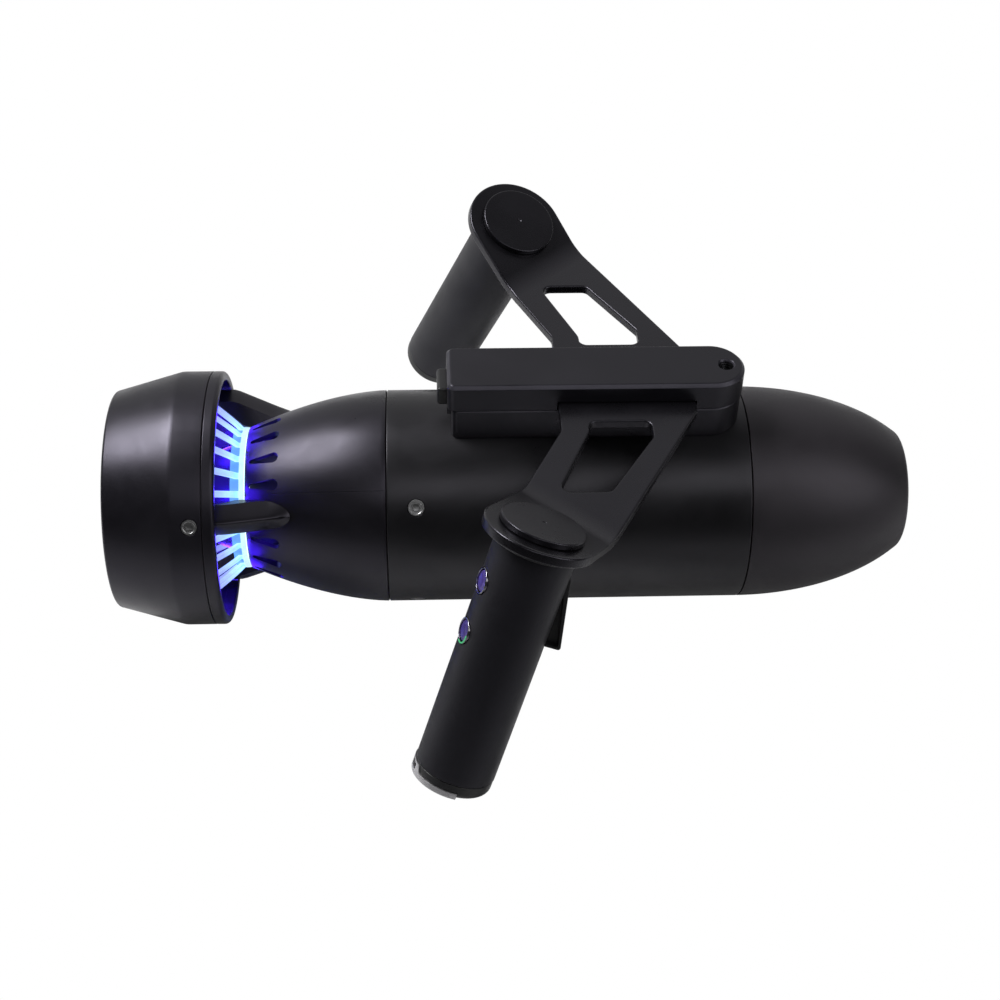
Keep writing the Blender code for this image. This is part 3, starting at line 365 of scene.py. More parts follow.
# ---- finishes
TUBE_BLACK = coated("tube_black", (0.0038, 0.0038, 0.0043), 0.36, grain=2600.0,
                    grain_depth=0.000008, scuffs=0.30, edge_wear_and_highlight=0.35, tone=(0.93, 0.90, 1.0))
NOSE_BLACK = coated("nose_black", (0.0125, 0.0112, 0.0130), 0.46, grain=1700.0,
                    scuffs=0.75, edge_wear_and_highlight=0.25, tone=(0.95, 0.89, 1.0))
CONE_BLACK = coated("cone_black", (0.0038, 0.0036, 0.0046), 0.36, grain=1700.0,
                    scuffs=0.35, edge_wear_and_highlight=0.4, tone=(0.86, 0.81, 1.0))
DUCT_BLACK = coated("duct_black", (0.0036, 0.0034, 0.0046), 0.36, grain=1700.0,
                    scuffs=0.35, edge_wear_and_highlight=0.45, tone=(0.85, 0.80, 1.0))
# The band along the top chamfer is a painted highlight: a bright line lifted tenfold and broken
# up by noise.
BLOCK_BLACK = coated("block_black", (0.0038, 0.0036, 0.0046), 0.36, grain=1100.0,
                     edge_wear_and_highlight=1.0, edge_lift=10.0, tone=(0.87, 0.84, 1.0),
                     band=(BLOCK_TOP - 0.0013, BLOCK_TOP - 0.0002))
ARM_BLACK = coated("arm_black", (0.0040, 0.0038, 0.0047), 0.29, grain=1100.0,
                   grain_depth=0.000010, edge_wear_and_highlight=0.0, tone=(0.88, 0.85, 1.0))
TRIM_BLACK = coated("trim_black", (0.0042, 0.0041, 0.0048), 0.34, edge_wear_and_highlight=0.7)
POD_BLACK = coated("pod_black", (0.0160, 0.0160, 0.0220), 0.42, edge_wear_and_highlight=0.6,
                   tone=(0.40, 0.35, 1.0))
BLADE_BLACK = coated("blade_black", (0.0120, 0.0120, 0.0170), 0.30, grain=1800.0, edge_wear_and_highlight=0.8,
                     tone=(0.60, 0.55, 1.0))
GRIP_RUBBER = rubber("grip_rubber", (0.0042, 0.0039, 0.0054), 0.47, 0.03)
SEAL_RUBBER = rubber("seal_rubber", (0.010, 0.010, 0.010), 0.45, 0.0)
TOOLED = {"axis": (1.0, 40.0, 40.0), "scale": 55.0}
STEEL = metal("steel", (0.56, 0.56, 0.57), 0.26, **TOOLED)
SCREW_STEEL = metal("screw_steel", (0.34, 0.34, 0.345), 0.36)
INSERT_STEEL = metal("insert_steel", (0.085, 0.085, 0.09), 0.30)
SATIN_STEEL = metal("satin_steel", (0.66, 0.65, 0.67), 0.42, scale=700.0)
DARK_CHROME = metal("dark_chrome", (0.30, 0.29, 0.33), 0.16, **TOOLED)
ALLOY = inner("motor_alloy", (0.30, 0.30, 0.31), 0.42, metallic=1.0)
COPPER = inner("copper_winding", (0.52, 0.24, 0.10), 0.38, metallic=1.0, grain=900.0)
WRAP = inner("battery_wrap", (0.04, 0.09, 0.20), 0.45)
BRASS = inner("contact_brass", (0.70, 0.48, 0.18), 0.30, metallic=1.0)
CIRCUIT = circuit("circuit_board")
RING_GLOW = lit_plastic("ring_glow", (0.50, 0.86, 1.0), (0.62, 0.92, 1.0), 0.024, 0.030, 2.4)
STEP_GLOW = lit_plastic("step_glow", (0.10, 0.35, 1.0), (0.12, 0.40, 1.0), 0.024, 0.031, 1.3)
RIB_GLOW = lit_plastic("rib_glow", (0.22, 0.58, 1.0), (0.16, 0.12, 0.95), 0.030, 0.046, 1.7)
BED_GLOW = lit_plastic("bed_glow", (0.04, 0.01, 0.80), (0.04, 0.01, 0.55), 0.024, 0.046, 0.8)
BUTTON_FILM = coated("button_violet", (0.060, 0.040, 0.200), 0.20, grain=900.0, edge_wear_and_highlight=0.3,
                     scuffs=0.6, lift=2.0, tone=(0.75, 0.70, 1.0))
STATUS_GREEN = lit_plastic("status_green", (0.02, 0.55, 0.16), (0.01, 0.35, 0.10), 0.09, 0.13,
                           0.9, rim=(0.2, 0.9, 0.4))
SLOTS = {
    "anodised_hull": (TUBE_BLACK, BLOCK_BLACK, ARM_BLACK),
    "black_plastic": (NOSE_BLACK, CONE_BLACK, DUCT_BLACK, TRIM_BLACK, BLADE_BLACK),
    "stainless": (STEEL, SCREW_STEEL, INSERT_STEEL, SATIN_STEEL, DARK_CHROME),
    "lit_polycarbonate": (RING_GLOW, STEP_GLOW, RIB_GLOW, BED_GLOW, BUTTON_FILM,
                          STATUS_GREEN),
    "motor_alloy": (POD_BLACK,),
    "grip_rubber": (GRIP_RUBBER,),
}
SLOT_OF = {mat: slot for slot, mats in SLOTS.items() for mat in mats}


# ---- mesh helpers
def placed(name, data):
    obj = bpy.data.objects.new(name, data)
    bpy.context.scene.collection.objects.link(obj)
    return obj


@contextmanager
def editing(mesh):
    """The mesh open for editing; it is written back at the end."""
    bm = bmesh.new()
    bm.from_mesh(mesh)
    yield bm
    bm.to_mesh(mesh)
    bm.free()


def moved(place, points):
    return [place @ Vector(p) for p in points]


def spread(start, end, count):
    return [start + (end - start) * i / count for i in range(count + 1)]


def mesh_of(name, points, faces):
    mesh = bpy.data.meshes.new(name)
    mesh.from_pydata([tuple(p) for p in points], [], faces)
    with editing(mesh) as bm:
        bmesh.ops.recalc_face_normals(bm, faces=bm.faces)
        if bm.calc_volume(signed=True) < 0:
            bmesh.ops.reverse_faces(bm, faces=bm.faces)
    return mesh


def refine(profile, step=0.004, closed=True):
    """Adds points along the long stretches of a profile."""
    ends = profile[1:] + (profile[:1] if closed else [])
    result = []
    for (h0, r0), (h1, r1) in zip(profile, ends):
        count = max(1, ceil(hypot(h1 - h0, r1 - r0) / step))
        result += [(h0 + (h1 - h0) * i / count, r0 + (r1 - r0) * i / count)
                   for i in range(count)]
    return result if closed else result + [profile[-1]]


def turned(profile, steps=STEPS, place=HULL, closed=True):
    """A surface turned round the place's Z. The profile is (height, radius)."""
    points, faces, rows = [], [], []
    for height, radius in profile:
        if radius < 1e-7:
            rows.append([len(points)] * steps)
            points.append(place @ Vector((0, 0, height)))
            continue
        rows.append(list(range(len(points), len(points) + steps)))
        angles = (2 * pi * i / steps for i in range(steps))
        points += moved(place, [(radius * cos(a), radius * sin(a), height) for a in angles])
    for a, b in zip(rows, rows[1:] + rows[:1] if closed else rows[1:]):
        for i in range(steps):
            j = (i + 1) % steps
            corners = list(dict.fromkeys((a[i], a[j], b[j], b[i])))
            if len(corners) > 2:
                faces.append(corners)
    return mesh_of("turned", points, faces)


def lofted(rows):
    """Skin over rows of points, each row a closed loop, with both ends closed."""
    count = len(rows[0])
    points = [p for row in rows for p in row]
    faces = []
    for start in range(0, count * (len(rows) - 1), count):
        for i in range(count):
            j = (i + 1) % count
            faces.append((start + i, start + j, start + count + j, start + count + i))
    faces.append(tuple(range(count)))
    faces.append(tuple(range(len(points) - count, len(points))))
    return mesh_of("lofted", points, faces)


def arc(centre, radius, start, end, count):
    return [(centre[0] + radius * cos(a), centre[1] + radius * sin(a))
            for a in spread(start, end, count)]


def softened(points, closed=True, step=11):
    """Rounds each corner (x, y, radius) of an outline, a point every so many degrees."""
    result = []
    for i, point in enumerate(points):
        corner = Vector(point[:2])
        radius = point[2] if len(point) > 2 else 0.0
        if radius == 0.0 or (not closed and i in (0, len(points) - 1)):
            result.append(tuple(corner))
            continue
        before = (Vector(points[i - 1][:2]) - corner).normalized()
        after = (Vector(points[(i + 1) % len(points)][:2]) - corner).normalized()
        half = before.angle(after) / 2
        count = max(1, ceil((pi - 2 * half) / radians(step)))
        reach = radius / tan(half)
        centre = corner + (before + after).normalized() * radius / sin(half)
        first = corner + before * reach - centre
        last = corner + after * reach - centre
        sweep = atan2(first.x * last.y - first.y * last.x, first.dot(last))
        angle = atan2(first.y, first.x)
        result += arc(centre, radius, angle, angle + sweep, count)
    return result


def spun(points, steps, place=HULL, step=11, finest=None):
    """A solid turned from an open outline that starts and ends on the axis."""
    profile = softened(points, closed=False, step=step)
    if finest:
        profile = refine(profile, finest, closed=False)
    return turned(profile, steps, place, closed=False)


def slab(outline, low, high, place=Matrix(), edge=0.0):
    """A flat outline given a thickness, its edges rounded over by an inset loop."""
    pts = [Vector(p) for p in outline]
    area = sum(a.x * b.y - b.x * a.y for a, b in zip(pts, pts[1:] + pts[:1]))
    turn = 1 if area > 0 else -1

    def ring(height, inset):
        row = []
        for i, p in enumerate(pts):
            before = (p - pts[i - 1]).normalized()
            after = (pts[(i + 1) % len(pts)] - p).normalized()
            inward = Vector((-(before.y + after.y), before.x + after.x)).normalized() * turn
            scale = max(0.4, inward.dot(Vector((-after.y, after.x)) * turn))
            row.append((*(p + inward * inset / scale), height))
        return moved(place, row)

    if edge <= 0:
        return lofted([ring(low, 0), ring(high, 0)])
    rises = [(edge * (1 - cos(radians(a))), edge * (1 - sin(radians(a))))
             for a in (0, 30, 60, 90)]
    return lofted([ring(low + rise, inset) for rise, inset in rises]
                  + [ring(high - rise, inset) for rise, inset in reversed(rises)])


def block(low, high, place=Matrix(), edge=0.0):
    outline = [(low[0], low[1]), (high[0], low[1]), (high[0], high[1]), (low[0], high[1])]
    return slab(outline, low[2], high[2], place, edge)


def joined(meshes):
    result = bpy.data.meshes.new("joined")
    with editing(result) as bm:
        for mesh in meshes:
            bm.from_mesh(mesh)
    return result


def evaluated(obj):
    """The object's final mesh; the object itself is removed."""
    graph = bpy.context.evaluated_depsgraph_get()
    mesh = bpy.data.meshes.new_from_object(obj.evaluated_get(graph))
    bpy.data.objects.remove(obj, do_unlink=True)
    return mesh


def modified(mesh, kind, **settings):
    obj = placed("work", mesh)
    modifier = obj.modifiers.new(kind, kind)
    for key, value in settings.items():
        setattr(modifier, key, value)
    return evaluated(obj)


def cut(mesh, *tools, operation="DIFFERENCE"):
    for tool in tools:
        helper = placed("helper", tool)
        mesh = modified(mesh, "BOOLEAN", operation=operation, solver="EXACT", object=helper)
        bpy.data.objects.remove(helper, do_unlink=True)
    return mesh


def fused(mesh, *others):
    return cut(mesh, *others, operation="UNION")


def bevelled(mesh, width, segments, angle):
    return modified(mesh, "BEVEL", width=width, segments=segments, limit_method="ANGLE",
                    angle_limit=radians(angle), harden_normals=False)


def smoothed(mesh):
    mesh.polygons.foreach_set("use_smooth", [True] * len(mesh.polygons))


def shaded(mesh, angle=30, clean=None):
    """Smooth shading with creases; normals near the clean surface are taken from it."""
    smoothed(mesh)
    mesh.set_sharp_from_angle(angle=radians(angle))
    if clean is None:
        return modified(mesh, "WEIGHTED_NORMAL", keep_sharp=True)
    smoothed(clean)
    bm = bmesh.new()
    bm.from_mesh(clean)
    bmesh.ops.triangulate(bm, faces=bm.faces)
    bm.normal_update()
    tree = BVHTree.FromBMesh(bm)
    bm.faces.ensure_lookup_table()
    normals = [Vector(n.vector) for n in mesh.corner_normals]
    for polygon in mesh.polygons:
        for k in polygon.loop_indices:
            point = mesh.vertices[mesh.loops[k].vertex_index].co
            spot, flat, index, distance = tree.find_nearest(point)
            if distance is None or distance > 0.00003 or flat.dot(polygon.normal) < 0.94:
                continue
            face = bm.faces[index]
            weights = [1.0 / max(1e-9, (v.co - spot).length) for v in face.verts]
            mixed = sum((v.normal * w for v, w in zip(face.verts, weights)), Vector())
            mixed.normalize()
            if mixed.dot(polygon.normal) > 0.9:
                normals[k] = mixed
    bm.free()
    mesh.normals_split_custom_set([tuple(n) for n in normals])
    return mesh


def show(name, mesh, mat, *nodes, body="hull", slot=None):
    """A visible piece in place of the CAD nodes; the slot worked out here is not used."""
    mesh.name = name
    mesh.materials.clear()
    mesh.materials.append(mat)
    obj = placed(name, mesh)
    slot = slot or SLOT_OF[mat]
    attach(obj, body)
    if nodes:
        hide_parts(*nodes)
    return obj


# ---- frames
def frame_from(origin, x_axis, z_axis):
    z_axis = z_axis.normalized()
    x_axis = (x_axis - x_axis.dot(z_axis) * z_axis).normalized()
    rows = Matrix((x_axis, z_axis.cross(x_axis), z_axis)).transposed().to_4x4()
    return Matrix.Translation(origin) @ rows


def tip_normal(side):
    return Vector((sin(TIP_LEAN) * cos(TIP_SPLAY), -side * sin(TIP_SPLAY),
                   cos(TIP_LEAN) * cos(TIP_SPLAY)))


def tip_frame(side):
    x, out, z = TIP_CENTRE
    return frame_from(Vector((x, side * out, z)), Vector((1, 0, 0)), tip_normal(side))


def hull_radial(x, radius, degrees):
    angle = radians(degrees)
    outward = Vector((0, -cos(angle), sin(angle)))
    return frame_from(Vector((x, 0, 0)) + outward * radius, Vector((1, 0, 0)), outward)


def thumb_frame(height):
    """The axis of a thumb button, out of the right grip."""
    base = tip_frame(-1)
    outward = base.to_3x3() @ Vector((cos(THUMB_ANGLE), sin(THUMB_ANGLE), 0))
    return frame_from(base @ Vector((0, 0, height)), base.to_3x3() @ Vector((0, 0, 1)), outward)


def trigger_frame():
    return tip_frame(-1) @ Matrix.Rotation(pi / 2, 4, "X")


def around(place, angle, loop):
    """A loop of (radius, height) stood at one angle round the place's Z."""
    return moved(place, [(r * cos(angle), r * sin(angle), z) for r, z in loop])


def along_hull(degrees, sections):
    """Skin through (x, loop) sections, a loop's points given as (across, outwards)."""
    place = hull_radial(0.0, 0.0, degrees)
    return lofted([moved(place, [(x, y, z) for y, z in loop]) for x, loop in sections])


# ---- screws
def screw_hole(place, head):
    rim = head + 0.0003
    return turned([(0.004, 0.0), (0.004, rim), (-0.0003, rim), (-0.0021, 0.0022),
                   (-0.0055, 0.0022), (-0.0055, 0.0)], 48, place)


def screw(name, place, head):
    """A countersunk screw with a raised rim and a hexagon socket."""
    sunk = place @ Matrix.Translation((0, 0, -0.0003))
    body = spun([
        (-0.00025, 0.0), (-0.00025, head - 0.0010, 0.0001), (0.0, head - 0.0007, 0.0001),
        (0.0, head, 0.00022), (-0.0005, head, 0.00012), (-0.0019, 0.0019),
        (-0.0055, 0.0019), (-0.0055, 0.0),
    ], 48, sunk)
    socket = [(0.0009, 0.0), (0.0009, 0.00235), (-0.00055, 0.00160), (-0.0018, 0.00160),
              (-0.0021, 0.0)]
    mesh = cut(body, turned(socket, 6, sunk))
    show(name + "_fine", shaded(mesh, 28), SCREW_STEEL, name)


def drilled(clean, places, head):
    """The shell with a countersunk hole for a screw at each place."""
    holes = joined([screw_hole(place, head) for place in places.values()])
    return shaded(cut(clean, holes), 30, clean)


# ---- hull
def nose_radius(x):
    share = (x - NOSE_SEAM) / NOSE_SEMI_AXIS
    return TUBE_RADIUS * sqrt(1 - share * share)


def cone_radius(x):
    return TUBE_RADIUS - CONE_DROP * ((TAIL_SEAM - x) / CONE_LENGTH) ** CONE_POWER


def make_nose():
    shoulder = NOSE_SEAM + GAP
    profile = [(0.0, 0.0), (0.0, 0.006), (0.0, 0.012), (0.0, 0.018)]
    profile += arc((-NOSE_CORNER, NOSE_FLAT_RADIUS), NOSE_CORNER, 0.0, radians(52), 8)
    profile += [(x, nose_radius(x)) for x in spread(-0.0045, NOSE_SEAM + 0.0007, 34)]
    profile += [(shoulder + 0.00015, TUBE_RADIUS - 0.00012), (shoulder, TUBE_RADIUS - 0.0004),
                (shoulder, SPIGOT_RADIUS), (NOSE_SEAM - 0.0120, SPIGOT_RADIUS),
                (NOSE_SEAM - 0.0120, SPIGOT_BORE)]
    profile += [(x - WALL, nose_radius(x) - WALL) for x in spread(NOSE_SEAM + 0.012, -0.007, 6)]
    profile += [(-WALL - 0.001, 0.0)]
    show("nose_shell", shaded(turned(profile, closed=False)), NOSE_BLACK, "nose_cap")


def make_tube():
    profile = softened([
        (NOSE_SEAM, TUBE_RADIUS, 0.0005), (TAIL_SEAM, TUBE_RADIUS, 0.0005),
        (TAIL_SEAM, TUBE_RADIUS - WALL), (NOSE_SEAM, TUBE_RADIUS - WALL),
    ])
    places = {f"body_screw_{i}": hull_radial(BODY_SCREW, TUBE_RADIUS, degrees)
              for i, degrees in enumerate(BODY_SCREW_ANGLES, 1)}
    mesh = drilled(turned(refine(profile, 0.005)), places, BODY_SCREW_HEAD)
    show("tube_shell", mesh, TUBE_BLACK, "body_tube")
    for name, place in places.items():
        screw(name, place, BODY_SCREW_HEAD)


def vent(degrees):
    """One teardrop slot, wide and round at the nose end."""
    outline = arc((VENT_FRONT, 0.0), 0.0024, radians(-82), radians(82), 14)
    outline += arc((VENT_BACK + 0.0006, 0.0), 0.0010, radians(98), radians(262), 6)
    return slab(outline, 0.0262, 0.0480, hull_radial(0.0, 0.0, degrees))


def mould_line(degrees):
    """A hairline groove along the cone, a tenth of a millimetre deep."""
    sections = []
    for x in spread(TAIL_SEAM - 0.0008, VENT_FRONT - 0.0010, 24):
        floor = cone_radius(x) - 0.00012
        top = floor + 0.0004
        sections.append((x, [(0.0, floor), (0.00022, top), (-0.00022, top)]))
    return along_hull(degrees, sections)


def make_cone():
    shoulder = TAIL_SEAM - GAP
    profile = [(shoulder, TUBE_RADIUS - 0.0004), (shoulder - 0.0001, TUBE_RADIUS - 0.0001)]
    profile += [(x, cone_radius(x)) for x in spread(shoulder - 0.0004, CONE_END + 0.0008, 36)]
    profile += [(CONE_END + 0.0002, cone_radius(CONE_END) - 0.0002),
                (CONE_END, cone_radius(CONE_END) - 0.0008)]
    profile += [(x, cone_radius(x) - 0.0025) for x in spread(CONE_END, TAIL_SEAM - 0.022, 12)]
    profile += [(TAIL_SEAM + 0.0185, SPIGOT_BORE), (TAIL_SEAM + 0.0185, SPIGOT_RADIUS),
                (shoulder, SPIGOT_RADIUS)]
    clean = turned(profile)
    vents = joined([vent(degrees + 60 + i * VENT_PITCH)
                    for degrees in STRUTS.values() for i in range(-2, 3)])
    mesh = cut(clean, vents, mould_line(45.0), mould_line(225.0))
    show("cone_shell", shaded(mesh, 30, clean), CONE_BLACK, "tail_cone")


# ---- duct
def make_duct():
    seat = RING_SEAM - 0.00003
    profile = softened([
        (RING_SEAM - GAP, DUCT_RADIUS, 0.0003), (DUCT_CORNER, DUCT_RADIUS, 0.009),
        (DUCT_END, DUCT_END_RADIUS, 0.0016), (DUCT_END, DUCT_END_BORE, 0.0012),
        (DUCT_CORNER, DUCT_BORE, 0.004), (seat, DUCT_BORE), (seat, DUCT_RADIUS - 0.0009),
        (RING_SEAM - GAP, DUCT_RADIUS - 0.0009),
    ], step=6)
    places = {"duct_screw_" + side: hull_radial(DUCT_SCREW, DUCT_RADIUS, degrees)
              for side, degrees in STRUTS.items()}
    mesh = drilled(turned(refine(profile)), places, DUCT_SCREW_HEAD)
    show("duct_outer_shell", mesh, DUCT_BLACK, "duct_shell")
    ring = softened([
        (LIP, DUCT_RADIUS, 0.0019), (RING_SEAM, DUCT_RADIUS, 0.0004),
        (RING_SEAM, DUCT_BORE), (LIP, DUCT_BORE, 0.0008),
    ], step=10)
    show("duct_lip", shaded(turned(ring)), DUCT_BLACK, "duct_front_ring")
    for name, place in places.items():
        screw(name, place, DUCT_SCREW_HEAD)


def cage_radius(x):
    share = max((CAGE_START - x) / (CAGE_START - CAGE_BACK), 0.0)
    return CAGE_RADIUS + (CAGE_RIM - CAGE_RADIUS) * share ** 0.92


def strut_section(x):
    """Half-width, floor, eave and ridge heights of a strut at one station."""
    run = STRUT_TIP - x
    width = 0.0062 * sqrt(max(0.0, 1 - (1 - min(run / 0.0130, 1.0)) ** 2))
    if x > CONE_END:
        floor = cone_radius(x) + 0.00002
    else:
        floor = max(cage_radius(x), CAGE_RADIUS) + 2 * GAP
    ridge = min(cone_radius(STRUT_TIP) + 0.0005 + run * 0.444, DUCT_BORE - 2 * GAP)
    eave = max(floor + 0.0002, ridge - 0.0082)
    return max(width, 0.0006), floor, eave, ridge


def make_strut(side, degrees):
    """A wedge with a soft ridge whose foot lies on the round of the cone."""
    runs = [0.0, 0.0004, 0.0010, 0.0018, 0.003, 0.0045, 0.006, 0.008, 0.010, 0.013]
    sections = []
    for x in [STRUT_TIP - r for r in runs] + spread(STRUT_TIP - 0.016, STRUT_BACK, 12):
        width, floor, eave, ridge = strut_section(x)
        half = [(width * share, ridge - (ridge - eave) * share ** 1.25
                 - 0.0002 * (share < 0.1)) for share in (1.0, 0.8, 0.55, 0.3, 0.12, 0.04)]
        under = [(width * s, sqrt(max(floor ** 2 - (width * s) ** 2, 0)) + 0.00002)
                 for s in (0.92, 0.6, 0.2)]
        sections.append((x, half + [(-y, z) for y, z in half[::-1] + under] + under[::-1]))
    mesh = along_hull(degrees, sections)
    show("strut_fine_" + side, shaded(mesh, 34), CONE_BLACK, "strut_" + side)


# ---- lit inlet cage
def rib(degrees):
    """One bar of the grille: out of the ring and along the flare to the rim."""
    half, depth = 0.00140, 0.0017
    sections = []
    for x in spread(CONE_END - 0.0018, CAGE_START, 3) + spread(
            TAIL_SEAM - 0.0630, TAIL_SEAM - 0.0830, 12):
        top = cage_radius(x)
        if x < TAIL_SEAM - 0.0815:
            top = min(top, DUCT_BORE - 2 * GAP)
        sections.append((x, softened([
            (-half, top, 0.0003), (half, top, 0.0003), (half * 0.85, top - depth, 0.0002),
            (-half * 0.85, top - depth, 0.0002)], step=45)))
    return along_hull(degrees, sections)


def make_cage():
    ribs = [rib(i * 15.0) for i in range(24) if (i * 15.0 - 30.0) % 120.0 != 0.0]
    show("cage_ribs", shaded(joined(ribs), 40), RIB_GLOW, "inlet_cage")
    hot_end, step_end, rim_end = CONE_END - 0.0023, TAIL_SEAM - 0.0645, TAIL_SEAM - 0.0855
    for name, mat, nodes, profile in (
        ("cage_hot_ring", RING_GLOW, (), [
            (CONE_END - GAP, CAGE_RADIUS, 0.0003), (hot_end, 0.0299, 0.0003),
            (hot_end, CAGE_BORE), (CONE_END - GAP, CAGE_BORE)]),
        ("cage_step_ring", STEP_GLOW, (), [
            (hot_end, 0.0293, 0.0003), (step_end, 0.0294, 0.0003),
            (step_end, CAGE_BORE), (hot_end, CAGE_BORE)]),
        ("cage_rim", BED_GLOW, (), [
            (CAGE_BACK, DUCT_BORE - GAP, 0.0004), (rim_end, DUCT_BORE - GAP),
            (rim_end, 0.0462), (CAGE_BACK, 0.0462, 0.0004)]),
        ("led_band", RING_GLOW, ("led_ring",), [
            (CONE_END + 0.0016, 0.0268, 0.0003), (CONE_END + 0.0003, 0.0268, 0.0003),
            (CONE_END + 0.0003, 0.0244), (CONE_END + 0.0016, 0.0244)]),
    ):
        show(name, shaded(turned(softened(profile)), 40), mat, *nodes)


# ---- drive line
def make_housing():
    front, step, bench = TAIL_SEAM + 0.0060, TAIL_SEAM + 0.0020, TAIL_SEAM - 0.0520
    seal, back = TAIL_SEAM - 0.0580, TAIL_SEAM - 0.0845
    profile = softened([
        (front, 0.0379), (step, 0.0379), (step, 0.0240), (TAIL_SEAM - 0.0620, 0.0240, 0.004),
        (TAIL_SEAM - 0.0720, 0.0200, 0.004), (back, 0.0130, 0.001), (back, 0.0044),
        (seal, 0.0044), (seal, 0.0081), (bench, 0.0081), (bench, 0.0216), (front, 0.0216),
    ])
    show("motor_pod", shaded(turned(refine(profile), 128)), POD_BLACK, "motor_housing")


def blade(index):
    """One twisted blade of aerofoil section."""
    turn = Matrix.Rotation(2 * pi * index / BLADES, 4, "X")
    middle = (TAIL_SEAM - 0.0865 + TAIL_SEAM - 0.0985) / 2
    rows = []
    for share in spread(0.0, 1.0, 12):
        radius = BLADE_ROOT + share * (BLADE_TIP - BLADE_ROOT)
        pitch = radians(52 - 24 * share)
        half = 0.0120 * (1.0 + 0.10 * sin(pi * share)) / 2 / sin(radians(52))
        if share > 0.75:
            half *= sqrt(1 - ((share - 0.75) / 0.27) ** 2 * 0.55)
        thick = 0.0012 - 0.0005 * share
        along = Vector((sin(pitch), 0, cos(pitch)))
        across = Vector((cos(pitch), 0, -sin(pitch)))
        row = []
        for a in range(24):
            angle = 2 * pi * a / 24
            u = cos(angle)
            w = sin(angle) * (0.75 - 0.25 * u) * (1 - u * u * 0.3)
            camber = 0.0009 * (1 - u * u)
            row.append(turn @ (Vector((middle, radius, 0)) + along * half * u
                               + across * (thick * w + camber - 0.0004)))
        rows.append(row)
    return lofted(rows)


def make_propeller():
    front, back = TAIL_SEAM - 0.0849, TAIL_SEAM - 0.1000
    hub = turned(softened([
        (front, 0.0130, 0.0008), (back + 0.002, 0.0120, 0.003), (back, 0.0100, 0.001),
        (back, 0.0043), (front, 0.0043),
    ]), 96)
    mesh = fused(hub, *[blade(i) for i in range(BLADES)])
    show("propeller_fine", shaded(mesh, 38), BLADE_BLACK, "propeller", body="rotor")
    base, seat = TAIL_SEAM - 0.1042, TAIL_SEAM - 0.1003
    nut = spun([
        (base, 0.0), (base, 0.0042), (seat, 0.0042), (seat, 0.0072, 0.0004),
        (TAIL_SEAM - 0.1040, 0.0068, 0.002), (TAIL_SEAM - 0.1060, 0.0040, 0.002),
        (TAIL_SEAM - 0.1062, 0.0),
    ], SMALL)
    show("propeller_nut_fine", shaded(nut), STEEL, "propeller_nut", body="rotor")


def make_guard():
    """The vaned guard in the outlet, each vane rounded at its front edge."""
    front, back = TAIL_SEAM - 0.1075, DUCT_END + 0.0003

    def bore(x):
        share = (DUCT_CORNER - x) / (DUCT_CORNER - DUCT_END)
        return DUCT_BORE - share * (DUCT_BORE - DUCT_END_BORE)

    rim = turned([(front, bore(front) - GAP), (back, bore(back) - GAP),
                  (back, bore(back) - 0.0017), (front, bore(front) - 0.0017)], 160)
    hub = spun([(front, 0.0), (front, 0.0105, 0.0010), (back + 0.0004, 0.0105, 0.0016),
                (back + 0.0002, 0.0)], 96)
    vanes = []
    for i in range(VANES):
        turn = Matrix.Rotation(2 * pi * (i + 0.5) / VANES, 4, "X")
        rows = []
        for z in spread(0.0085, DUCT_END_BORE - 0.0006, 6):
            sweep = 0.0016 * sin((z - 0.0085) / 0.034 * pi)
            loop = softened([
                (front - 0.0004, -0.0008 + sweep, 0.0006),
                (front - 0.0004, 0.0008 + sweep, 0.0006),
                (back + 0.0006, 0.0006, 0.0003), (back + 0.0006, -0.0006, 0.0003)], step=30)
            rows.append(moved(turn, [(x, y, z) for x, y in loop]))
        vanes.append(lofted(rows))
    show("rear_guard_fine", shaded(fused(rim, hub, *vanes), 34), DUCT_BLACK, "rear_guard")


# ---- handle block
def stacked(levels, tail=BLOCK_TAIL, nose=BLOCK_NOSE, corner=0.003):
    """A block with a round nose through (height, inset) levels."""
    rows = []
    for z, inset in levels:
        half, soft = BLOCK_HALF - inset, max(corner - inset, 0.0006)
        x, y = tail + inset + soft, half - soft
        outline = arc((nose - inset - half, 0.0), half, radians(-90), radians(90), 40)
        outline += arc((x, y), soft, radians(90), radians(180), 6)
        outline += arc((x, -y), soft, radians(180), radians(270), 6)
        rows.append([Vector((*p, z)) for p in outline])
    return lofted(rows)


